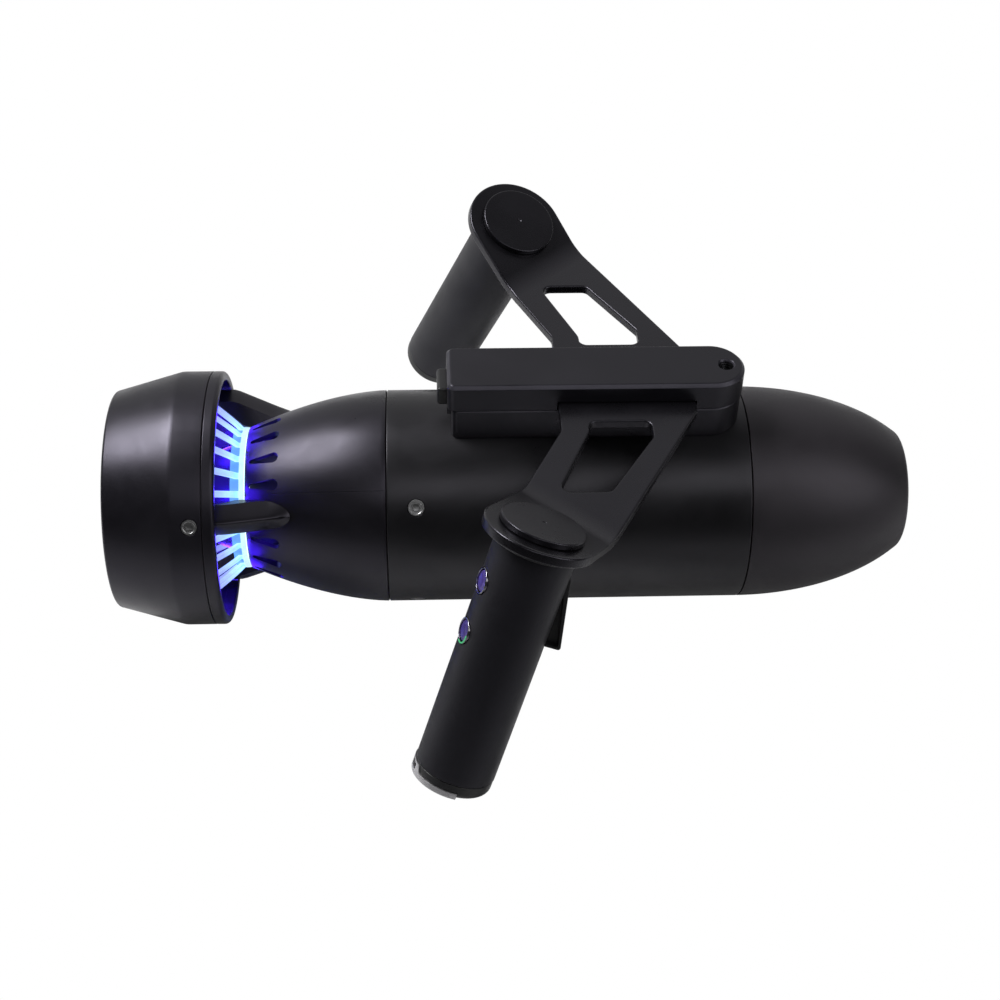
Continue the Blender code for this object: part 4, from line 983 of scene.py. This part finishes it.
def make_cover():
    cover = stacked([(BLOCK_SEAM, 0.0003), (BLOCK_SEAM + 0.0003, 0.0),
                     (BLOCK_SEAM + 0.0009, 0.0), (BLOCK_TOP - 0.0020, 0.0),
                     (BLOCK_TOP - 0.0015, 0.0), (BLOCK_TOP - 0.0013, 0.00005),
                     (BLOCK_TOP - 0.0002, 0.0011), (BLOCK_TOP, 0.0014), (BLOCK_TOP, 0.0020)])
    lug = block((BLOCK_TAIL, -0.0100, 0.0534), (BASE_TAIL - GAP, 0.0100, BLOCK_SEAM + 0.001),
                edge=0.0003)
    slot = block((ROOT_TAIL - GAP, -0.02, 0.05), (ROOT_NOSE + GAP, 0.02, ARM_TOP + GAP))
    pocket = block((BASE_TAIL, -0.0106, 0.0500), (ROOT_TAIL - 0.0030, 0.0106, 0.0664))
    mouth = block((BLOCK_TAIL - 0.01, -0.0073, 0.0552), (BASE_TAIL + 0.001, 0.0073, 0.0642))
    over, lip, under = BLOCK_TOP + 0.001, BLOCK_TOP - 0.0010, BLOCK_SEAM - 0.001
    thread = Matrix.Translation((THREAD_X, 0, 0))
    well = turned([(over, 0.0), (over, 0.0044), (lip, 0.0028), (lip, 0.0045),
                   (under, 0.0045), (under, 0.0)], SMALL, thread)
    cover = cut(fused(cover, lug), slot, pocket, mouth, well)
    show("cover_shell", shaded(bevelled(cover, 0.00022, 2, 50), 40), BLOCK_BLACK,
         "handle_cover")
    low, high = BLOCK_SEAM + 0.0003, BLOCK_TOP - 0.0013
    heights = spread(low, high, int((high - low) / THREAD_PITCH * 2))
    wall = [(high, 0.0042), (low, 0.0042), (low, 0.0027)]
    wall += [(z, 0.00255 if k % 2 else 0.00285) for k, z in enumerate(heights)]
    show("threaded_insert", shaded(turned(wall, SMALL, thread), 25), INSERT_STEEL,
         "thread_insert")


def make_base():
    base = stacked([(0.0300, 0.0), (BLOCK_SEAM - 0.0013, 0.0), (BLOCK_SEAM - 0.0007, 0.0),
                    (BLOCK_SEAM - GAP, 0.0004)], BASE_TAIL, BLOCK_NOSE - 0.0004, 0.0025)
    saddle = turned([(-0.25, 0.0), (-0.25, TUBE_RADIUS + GAP), (-0.03, TUBE_RADIUS + GAP),
                     (-0.03, 0.0)], 240)
    notch = block((BASE_TAIL - 0.01, -0.0074, 0.0551), (BASE_TAIL + 0.0032, 0.0074, 0.07))
    keeper = block((BASE_TAIL + 0.0070, -0.0043, 0.0548), (BASE_TAIL + 0.0140, 0.0043, 0.07))
    base = bevelled(cut(base, saddle, notch, keeper), 0.00018, 2, 50)
    show("base_shell", shaded(base, 40), BLOCK_BLACK, "rail_base")


def make_release_button():
    root = BLOCK_TAIL + 0.0011
    head = block((BLOCK_TAIL - 0.0040, -0.0070, 0.0555), (root, 0.0070, 0.0639))
    stem = block((root - 0.001, -0.0040, 0.0576), (BASE_TAIL + 0.0105, 0.0040, 0.0628))
    hook = block((BASE_TAIL + 0.0075, -0.0038, 0.0556), (BASE_TAIL + 0.0100, 0.0038, 0.0600))
    grooves = [block((BLOCK_TAIL - 0.0050, -0.0052, z - 0.0003),
                     (BLOCK_TAIL - 0.0036, 0.0052, z + 0.0003))
               for z in (0.0578, 0.0597, 0.0616)]
    head = cut(fused(bevelled(head, 0.0013, 4, 60), stem, hook), *grooves)
    show("release_button_fine", shaded(head, 35), TRIM_BLACK, "release_button",
         body="release_button")


def make_spring():
    """The release button's compression spring, with closed ends."""
    low, high, radius, wire = SPRING_TAIL, SPRING_NOSE, 0.0020, 0.00034
    count, per_turn = 150, 24
    rows = []
    for i in range(count + 1):
        share = i / count
        angle = 2 * pi * i / per_turn
        travel = share * share * (3 - 2 * share)
        centre = Vector((low + wire + (high - low - 2 * wire) * travel,
                         radius * sin(angle), SPRING_HEIGHT + radius * cos(angle)))
        out = Vector((0, sin(angle), cos(angle)))
        rows.append([centre + out * wire * cos(b) + Vector((1, 0, 0)) * wire * sin(b)
                     for b in (2 * pi * k / 10 for k in range(10))])
    obj = show("release_spring_fine", shaded(lofted(rows), 50), STEEL, "release_spring")
    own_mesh(obj)


# ---- arms
def fold(side):
    """Where and how far an arm bends up, and the centre of its round end laid flat."""
    normal = tip_normal(side)
    x, out, z = TIP_CENTRE
    line = Vector((0, 0, 1)).cross(normal).normalized()
    uphill = Vector((normal.x, normal.y, 0)).normalized() * -1
    angle = acos(normal.z)
    foot = Vector((x, side * out, ARM_TOP)) - uphill * ((z - ARM_TOP) / tan(angle))
    centre = (foot + uphill * ((z - ARM_TOP) / sin(angle))).to_2d()
    return foot, line, uphill, angle, centre


def tangent_point(point, centre, radius, side):
    away = point - centre
    swing = side * acos(radius / away.length)
    return centre + Matrix.Rotation(swing, 2) @ away.normalized() * radius


def arm_outline(side):
    foot, line, uphill, angle, centre = fold(side)
    tailward = line.to_2d() if line.x < 0 else -line.to_2d()
    kink_tail = foot.to_2d() + tailward * KINK_TAIL
    kink_nose = foot.to_2d() - tailward * KINK_NOSE
    start = tangent_point(kink_tail, centre, TIP_RADIUS, -side) - centre
    end = tangent_point(kink_nose, centre, TIP_RADIUS, side) - centre
    first = atan2(start.y, start.x)
    tip = arc(centre, TIP_RADIUS, first, first - side * (2 * pi - abs(start.angle(end))), 64)
    return softened([(ROOT_TAIL, side * GAP / 2), (ROOT_TAIL, side * KNEE_TAIL, 0.006),
                     (*kink_tail, 0.006), *tip, (*kink_nose, 0.006),
                     (ROOT_NOSE, side * KNEE_NOSE, 0.004), (ROOT_NOSE, side * GAP / 2)],
                    step=6)


def plate_mesh(outlines, low, high, edge):
    """A flat plate with holes and rounded edges, from filled 2D curves."""
    curve = bpy.data.curves.new("plate", "CURVE")
    curve.dimensions = "2D"
    curve.fill_mode = "BOTH"
    curve.extrude = (high - low) / 2 - edge
    curve.bevel_depth = edge
    curve.bevel_resolution = 3
    curve.offset = -edge
    for outline in outlines:
        spline = curve.splines.new("POLY")
        spline.points.add(len(outline) - 1)
        for point, (x, y) in zip(spline.points, outline):
            point.co = (x, y, 0, 1)
        spline.use_cyclic_u = True
    mesh = evaluated(placed("plate", curve))
    with editing(mesh) as bm:
        bmesh.ops.remove_doubles(bm, verts=bm.verts, dist=0.000005)
        flats = [f for f in bm.faces if abs(f.normal.z) > 0.99]
        bmesh.ops.inset_region(bm, faces=flats, thickness=0.0004, use_even_offset=True)
        bmesh.ops.translate(bm, verts=bm.verts, vec=(0, 0, (low + high) / 2))
    return mesh


def bent(mesh, side):
    """Folds a flat plate upwards about the arm's bend, on a smooth radius."""
    foot, line, uphill, angle, centre = fold(side)
    half = BEND_RADIUS * angle / 2
    with editing(mesh) as bm:
        for reach in spread(-half, half, 12):
            bmesh.ops.bisect_plane(bm, geom=bm.verts[:] + bm.edges[:] + bm.faces[:],
                                   plane_co=foot + uphill * reach, plane_no=uphill, dist=1e-7)
        bmesh.ops.triangulate(bm, faces=[f for f in bm.faces if len(f.verts) > 4])
    mesh = shaded(mesh, 40)
    normals = [Vector(n.vector) for n in mesh.corner_normals]
    axis = uphill.cross(Vector((0, 0, 1)))
    start = foot - uphill * half
    pivot = Vector((start.x, start.y, ARM_TOP + BEND_RADIUS))
    turns = []
    for vertex in mesh.vertices:
        along = (vertex.co - foot).dot(uphill)
        turn = min(max((along + half) / BEND_RADIUS, 0.0), angle)
        spin = Matrix.Rotation(turn, 3, axis)
        turns.append(spin)
        if turn > 0.0:
            level = Vector((0, 0, vertex.co.z - ARM_TOP - BEND_RADIUS))
            spot = pivot + line * (vertex.co - foot).dot(line) + spin @ level
            vertex.co = spot + spin @ (uphill * max(along - half, 0.0))
    mesh.normals_split_custom_set([tuple(turns[loop.vertex_index] @ normals[k])
                                   for k, loop in enumerate(mesh.loops)])
    return mesh


def make_arm(suffix, side):
    window = softened([(x, side * out, radius) for x, out, radius in WINDOW], step=8)
    hole = arc(fold(side)[-1], 0.0033, 0, 2 * pi * 31 / 32, 31)
    mesh = plate_mesh([arm_outline(side), window, hole], ARM_TOP - ARM_THICKNESS, ARM_TOP,
                      0.0008)
    show("arm_plate_" + suffix, bent(mesh, side), ARM_BLACK, "arm_" + suffix)


# ---- grips
def make_cap(suffix, side):
    mesh = spun([
        (0.00245, 0.0), (0.00245, 0.0007), (0.0027, 0.0010), (0.0027, CAP_RADIUS, 0.0006),
        (GAP, CAP_RADIUS, 0.0002), (GAP, 0.0068), (0.0019, 0.0068), (0.0019, 0.0),
    ], FINE, tip_frame(side), 9, 0.002)
    show("tip_cap_" + suffix, shaded(mesh), ARM_BLACK, "arm_cap_" + suffix)


def grip_openings():
    """The thumb buttons' holes and the trigger's slot in the right grip."""
    hole = [(0.0200, 0.0), (0.0200, 0.0053), (0.0070, 0.0053), (0.0070, 0.0)]
    low, high = TRIGGER_FOOT - 0.0014, TRIGGER_PIVOT[1] + 0.0034
    outline = [(0.0080, low), (0.0230, low), (0.0230, high), (0.0080, high)]
    return [turned(hole, SMALL, thumb_frame(h)) for h in THUMB_HEIGHTS.values()] + [
        slab(outline, -TRIGGER_HALF - 0.0004, TRIGGER_HALF + 0.0004, trigger_frame())]


def make_grip(suffix, side):
    place = tip_frame(side)
    flange = -ARM_THICKNESS - GAP
    sleeve_end, grip_end = SLEEVE_END[side], GRIP_END[side]
    core = turned(refine(softened([
        (flange, 0.0180, 0.0004), (flange - 0.0016, 0.0180, 0.0005),
        (SLEEVE_TOP + GAP, 0.0146), (SLEEVE_TOP + GAP, CORE_RADIUS),
        (sleeve_end, CORE_RADIUS), (sleeve_end, 0.0105), (-0.0140, 0.0105),
        (-0.0110, 0.0033), (flange, 0.0033),
    ])), FINE, place)
    clean = turned(refine(softened([
        (SLEEVE_TOP, GRIP_RADIUS, 0.0006), (sleeve_end, GRIP_RADIUS, 0.0004),
        (sleeve_end, 0.0133), (SLEEVE_TOP, 0.0133),
    ]), 0.003), FINE, place)
    radius, socket = GRIP_RADIUS - 0.0002, sleeve_end + 0.0060
    foot = spun([
        (socket, 0.0), (socket, PLUG_RADIUS), (sleeve_end - GAP, PLUG_RADIUS),
        (sleeve_end - GAP, radius, 0.0003), (grip_end, radius, 0.0024), (grip_end, 0.0),
    ], FINE, place, 9, 0.003)
    if side < 0:
        openings = grip_openings()
        core = cut(core, *openings)
        sleeve = shaded(cut(clean, *openings), 30, clean)
        foot = cut(foot, band_mesh(GRIP_RADIUS - 0.0013, GRIP_RADIUS + 0.0030, 0.0003))
    else:
        sleeve = shaded(clean)
    show("grip_body_" + suffix, shaded(core), TRIM_BLACK, "grip_core_" + suffix,
         slot="core_nylon")
    show("grip_skin_" + suffix, sleeve, GRIP_RUBBER, "grip_sleeve_" + suffix)
    show("grip_foot_" + suffix, shaded(foot), TRIM_BLACK, "grip_end_" + suffix)


def make_thumb_button(name, height):
    place = thumb_frame(height)
    bezel = turned(softened([
        (0.0158, 0.0050, 0.0003), (0.0118, 0.0051), (0.0118, 0.0042), (0.0158, 0.0043, 0.0002),
    ]), SMALL, place)
    show("bezel_" + name, shaded(bezel), DARK_CHROME, "thumb_bezel_" + name)
    button = spun([
        (0.0156, 0.0), (0.0156, 0.0012), (0.0158, 0.0026, 0.001), (0.0153, 0.0040, 0.0005),
        (0.0095, 0.0040), (0.0095, 0.0)], SMALL, place)
    show("button_" + name, shaded(button), BUTTON_FILM, "thumb_button_" + name,
         body="thumb_button_" + name)


def make_status_light():
    """A thin green light guide let into the lower bezel, on the side of the grip's foot."""
    place = thumb_frame(THUMB_HEIGHTS["lower"])
    loop = [(0.00440, 0.01570), (0.00495, 0.01570), (0.00490, 0.01598), (0.00445, 0.01598)]
    rows = [around(place, angle, loop) for angle in spread(radians(166), radians(272), 30)]
    show("status_light", shaded(lofted(rows), 40), STATUS_GREEN)


def make_trigger():
    """A finger lever whose sides are recessed inside a raised border."""
    place = trigger_frame()
    pivot_x, pivot_y = TRIGGER_PIVOT
    axle = place @ Matrix.Translation((pivot_x, pivot_y, 0))
    foot = TRIGGER_FOOT + 0.0020
    outline = arc(TRIGGER_PIVOT, 0.0026, radians(215), radians(80), 14) + [
        (0.0158, pivot_y + 0.0022, 0.0012), (0.0166, pivot_y - 0.0030, 0.006),
        (0.0213, foot, 0.0010), (0.0128, foot, 0.0008), (0.0112, pivot_y - 0.0080, 0.004),
    ]
    lever = slab(softened(outline), -TRIGGER_HALF, TRIGGER_HALF, place, 0.0003)
    recess = softened([
        (0.0118, pivot_y - 0.0050, 0.0008), (0.0154, pivot_y - 0.0050, 0.0010),
        (0.0200, foot + 0.0011, 0.0007), (0.0130, foot + 0.0011, 0.0006),
    ])
    bore = turned([(0.007, 0.0), (0.007, 0.0012), (-0.007, 0.0012), (-0.007, 0.0)], 32, axle)
    lever = cut(lever, slab(recess, TRIGGER_HALF - 0.0022, 0.008, place),
                slab(recess, -0.008, 0.0022 - TRIGGER_HALF, place), bore)
    show("trigger_lever", shaded(lever, 38), TRIM_BLACK, "trigger", body="trigger")
    pin = spun([(0.0052, 0.0), (0.0052, 0.0011, 0.0002), (-0.0052, 0.0011, 0.0002),
                (-0.0052, 0.0)], 32, axle)
    show("trigger_axle", shaded(pin), STEEL, "trigger_pin")


def band_mesh(inner_radius, outer, clearance=0.0):
    """A thin strip round the grip's foot that widens into an eye for a cord."""
    place = tip_frame(-1)
    rows = []
    for degrees in spread(-86.0 + 400 * clearance, -212.0 - 400 * clearance, 84):
        share = min(max((-degrees - 150.0) / 8.0, 0.0), 1.0)
        rise = (BAND_HIGH - BAND_LOW - BAND_STRIP) * share * share * (3 - 2 * share)
        top, floor = BAND_LOW + BAND_STRIP + rise + clearance, BAND_LOW - 10 * clearance
        loop = softened([(outer, top, 0.0002), (outer, floor, 0.0003),
                         (inner_radius, floor), (inner_radius, top)], step=45)
        rows.append(around(place, radians(degrees), loop))
    return lofted(rows)


def make_lanyard_band():
    turn = tip_frame(-1) @ Matrix.Rotation(radians(7), 4, "Z")
    eye = block((-0.03, -0.0026, BAND_LOW + 0.0016), (-0.010, 0.0026, BAND_HIGH - 0.0009), turn)
    band = cut(band_mesh(GRIP_RADIUS - 0.0011, GRIP_RADIUS + 0.0004), eye)
    show("lanyard_clip", shaded(bevelled(band, 0.0001, 1, 50), 35), SATIN_STEEL,
         "lanyard_band")


# ---- build
make_nose()
make_tube()
make_cone()
make_duct()
for strut_side, strut_angle in STRUTS.items():
    make_strut(strut_side, strut_angle)
make_cage()
make_housing()
make_propeller()
make_guard()
make_cover()
make_base()
make_release_button()
make_spring()
for grip_suffix, grip_side in (("right", -1), ("left", 1)):
    make_arm(grip_suffix, grip_side)
    make_cap(grip_suffix, grip_side)
    make_grip(grip_suffix, grip_side)
for thumb_name, thumb_height in THUMB_HEIGHTS.items():
    make_thumb_button(thumb_name, thumb_height)
make_status_light()
make_trigger()
make_lanyard_band()

# CAD pieces that stay as they are, under these finishes
KEPT = {
    SEAL_RUBBER: ("nose_o_ring", "tail_o_ring", "shaft_seal", "battery_cushion"),
    STEEL: ("propeller_shaft", "shaft_bearing_front", "shaft_bearing_rear",
            "grip_bolt_right", "grip_bolt_left"),
    ALLOY: ("motor_front_plate", "motor_rotor"),
    COPPER: ("motor_stator",),
    WRAP: ("battery_pack", "handle_battery"),
    BRASS: ("contact_plate",),
    CIRCUIT: ("controller_board", "handle_board"),
}
for finish, names in KEPT.items():
    for node_name in names:
        node = frame["nodes"][node_name]
        node.data.materials.clear()
        node.data.materials.append(finish)


# ---- stage
FLOOR_REACH = 6.0
FLOOR_NEAR, FLOOR_FAR = (0.17, 0.17, 0.17), (0.72, 0.72, 0.72)
LIT_POINT = Vector((-0.17, 0.0, 0.0))
INLET_BLUE = (0.06, 0.015, 1.0)
CAMERA_LENS = 61.6
CAMERA_DISTANCE = 0.7373
CAMERA_TARGET = Vector((TAIL_SEAM + 0.04765, 0.0, -0.0036))
CAMERA_AZIMUTH, CAMERA_ELEVATION, CAMERA_ROLL = -3.16, 42.85, 1.38


def make_floor():
    """A pale floor that looks near white but throws little light back at the object."""
    level = CAD_BOX[0].z - 0.0002
    mesh = bpy.data.meshes.new("floor")
    corners = [(x * FLOOR_REACH, y * FLOOR_REACH, level)
               for x, y in ((-1, -1), (1, -1), (1, 1), (-1, 1))]
    mesh.from_pydata(corners, [], [(0, 1, 2, 3)])
    floor = placed("floor", mesh)
    look = Look("pale_floor")
    near = look.remap(look.split()["Y"], -0.40, -0.05)
    mesh.materials.append(look.finish(Base_Color=look.blend(near, FLOOR_NEAR, FLOOR_FAR),
                                      Roughness=0.9))
    mix = look.node("MixShader", {
        "Fac": look.node("LightPath", {}).outputs["Is Camera Ray"],
        1: look.shader.outputs["BSDF"], 2: look.node("Emission", {}).outputs["Emission"]})
    look.put(look.tree.nodes["Material Output"].inputs["Surface"], mix.outputs["Shader"])


def lamp(name, kind, energy, place, **settings):
    data = bpy.data.lights.new(name, kind)
    data.energy = energy
    for key, value in settings.items():
        setattr(data, key, value)
    light = placed(name, data)
    light.location = place
    light.visible_camera = False
    return light


def area_light(name, direction, distance, size, radiance):
    aim = Vector(direction).normalized()
    light = lamp(name, "AREA", radiance * pi * size[0] * size[1], LIT_POINT + aim * distance,
                 shape="RECTANGLE", size=size[0], size_y=size[1])
    light.rotation_euler = (-aim).to_track_quat("-Z", "Y").to_euler()


def inlet_light(name, x, radius, degrees, energy, receivers):
    """A small blue light by the cage that only reaches the pieces round the inlet."""
    angle = radians(degrees)
    light = lamp(name, "POINT", energy, (x, -radius * cos(angle), radius * sin(angle)),
                 color=INLET_BLUE, shadow_soft_size=0.005)
    light.light_linking.receiver_collection = receivers


def make_room():
    """A dim room that is brighter behind the object and plain white to the camera."""
    world = bpy.data.worlds.new("studio")
    bpy.context.scene.world = world
    world.use_nodes = True
    nodes, link = world.node_tree.nodes, world.node_tree.links.new
    background = nodes["Background"]
    split = nodes.new("ShaderNodeSeparateXYZ")
    link(nodes.new("ShaderNodeTexCoord").outputs["Generated"], split.inputs[0])
    depth = nodes.new("ShaderNodeMapRange")
    depth.interpolation_type = "SMOOTHSTEP"
    for name, value in (("From Min", 0.10), ("From Max", 0.75), ("To Min", 0.04),
                        ("To Max", 0.48)):
        depth.inputs[name].default_value = value
    link(split.outputs["Y"], depth.inputs["Value"])
    seen = nodes.new("ShaderNodeMix")
    link(nodes.new("ShaderNodeLightPath").outputs["Is Camera Ray"], seen.inputs["Factor"])
    link(depth.outputs["Result"], seen.inputs["A"])
    seen.inputs["B"].default_value = 1.0
    link(seen.outputs["Result"], background.inputs["Strength"])
    background.inputs["Color"].default_value = (1.0, 1.0, 1.0, 1.0)


def make_light():
    area_light("softbox_key", (-0.55, 0.22, 0.80), 1.45, (0.80, 0.46), 18.5)
    area_light("softbox_front", (0.30, -0.50, 0.81), 1.40, (1.90, 0.50), 1.35)
    area_light("softbox_nose", (0.80, -0.50, 0.45), 1.50, (0.80, 0.90), 1.9)
    receivers = bpy.data.collections.new("lit_by_inlet")
    for piece in bpy.data.objects:
        if piece.name.startswith(("cone", "duct", "motor", "propeller", "rear")):
            receivers.objects.link(piece)
    for i in range(12):
        degrees = 15.0 + 30.0 * i
        if i % 2:
            inlet_light(f"inlet_glow_{i}", -0.2915, 0.034, degrees, 0.11, receivers)
        inlet_light(f"spill_glow_{i}", -0.2808, 0.0355, degrees, 0.012, receivers)
        inlet_light(f"vent_glow_{i}", -0.2700, 0.0275, degrees, 0.0016, receivers)


def make_camera():
    data = bpy.data.cameras.new("camera")
    data.sensor_width = 36.0
    data.lens = CAMERA_LENS
    data.clip_start, data.clip_end = 0.02, 30.0
    camera = placed("camera", data)
    azimuth, elevation, roll = map(radians, (CAMERA_AZIMUTH, CAMERA_ELEVATION, CAMERA_ROLL))
    back = Vector((sin(azimuth) * cos(elevation), -cos(azimuth) * cos(elevation),
                   sin(elevation)))
    right = Vector((cos(azimuth), sin(azimuth), 0))
    up = back.cross(right)
    rows = Matrix((right * cos(roll) + up * sin(roll), up * cos(roll) - right * sin(roll),
                   back)).transposed().to_4x4()
    camera.matrix_world = Matrix.Translation(CAMERA_TARGET + back * CAMERA_DISTANCE) @ rows
    bpy.context.scene.camera = camera


make_floor()
make_room()
make_light()
make_camera()
bpy.context.scene.view_settings.view_transform = "Standard"
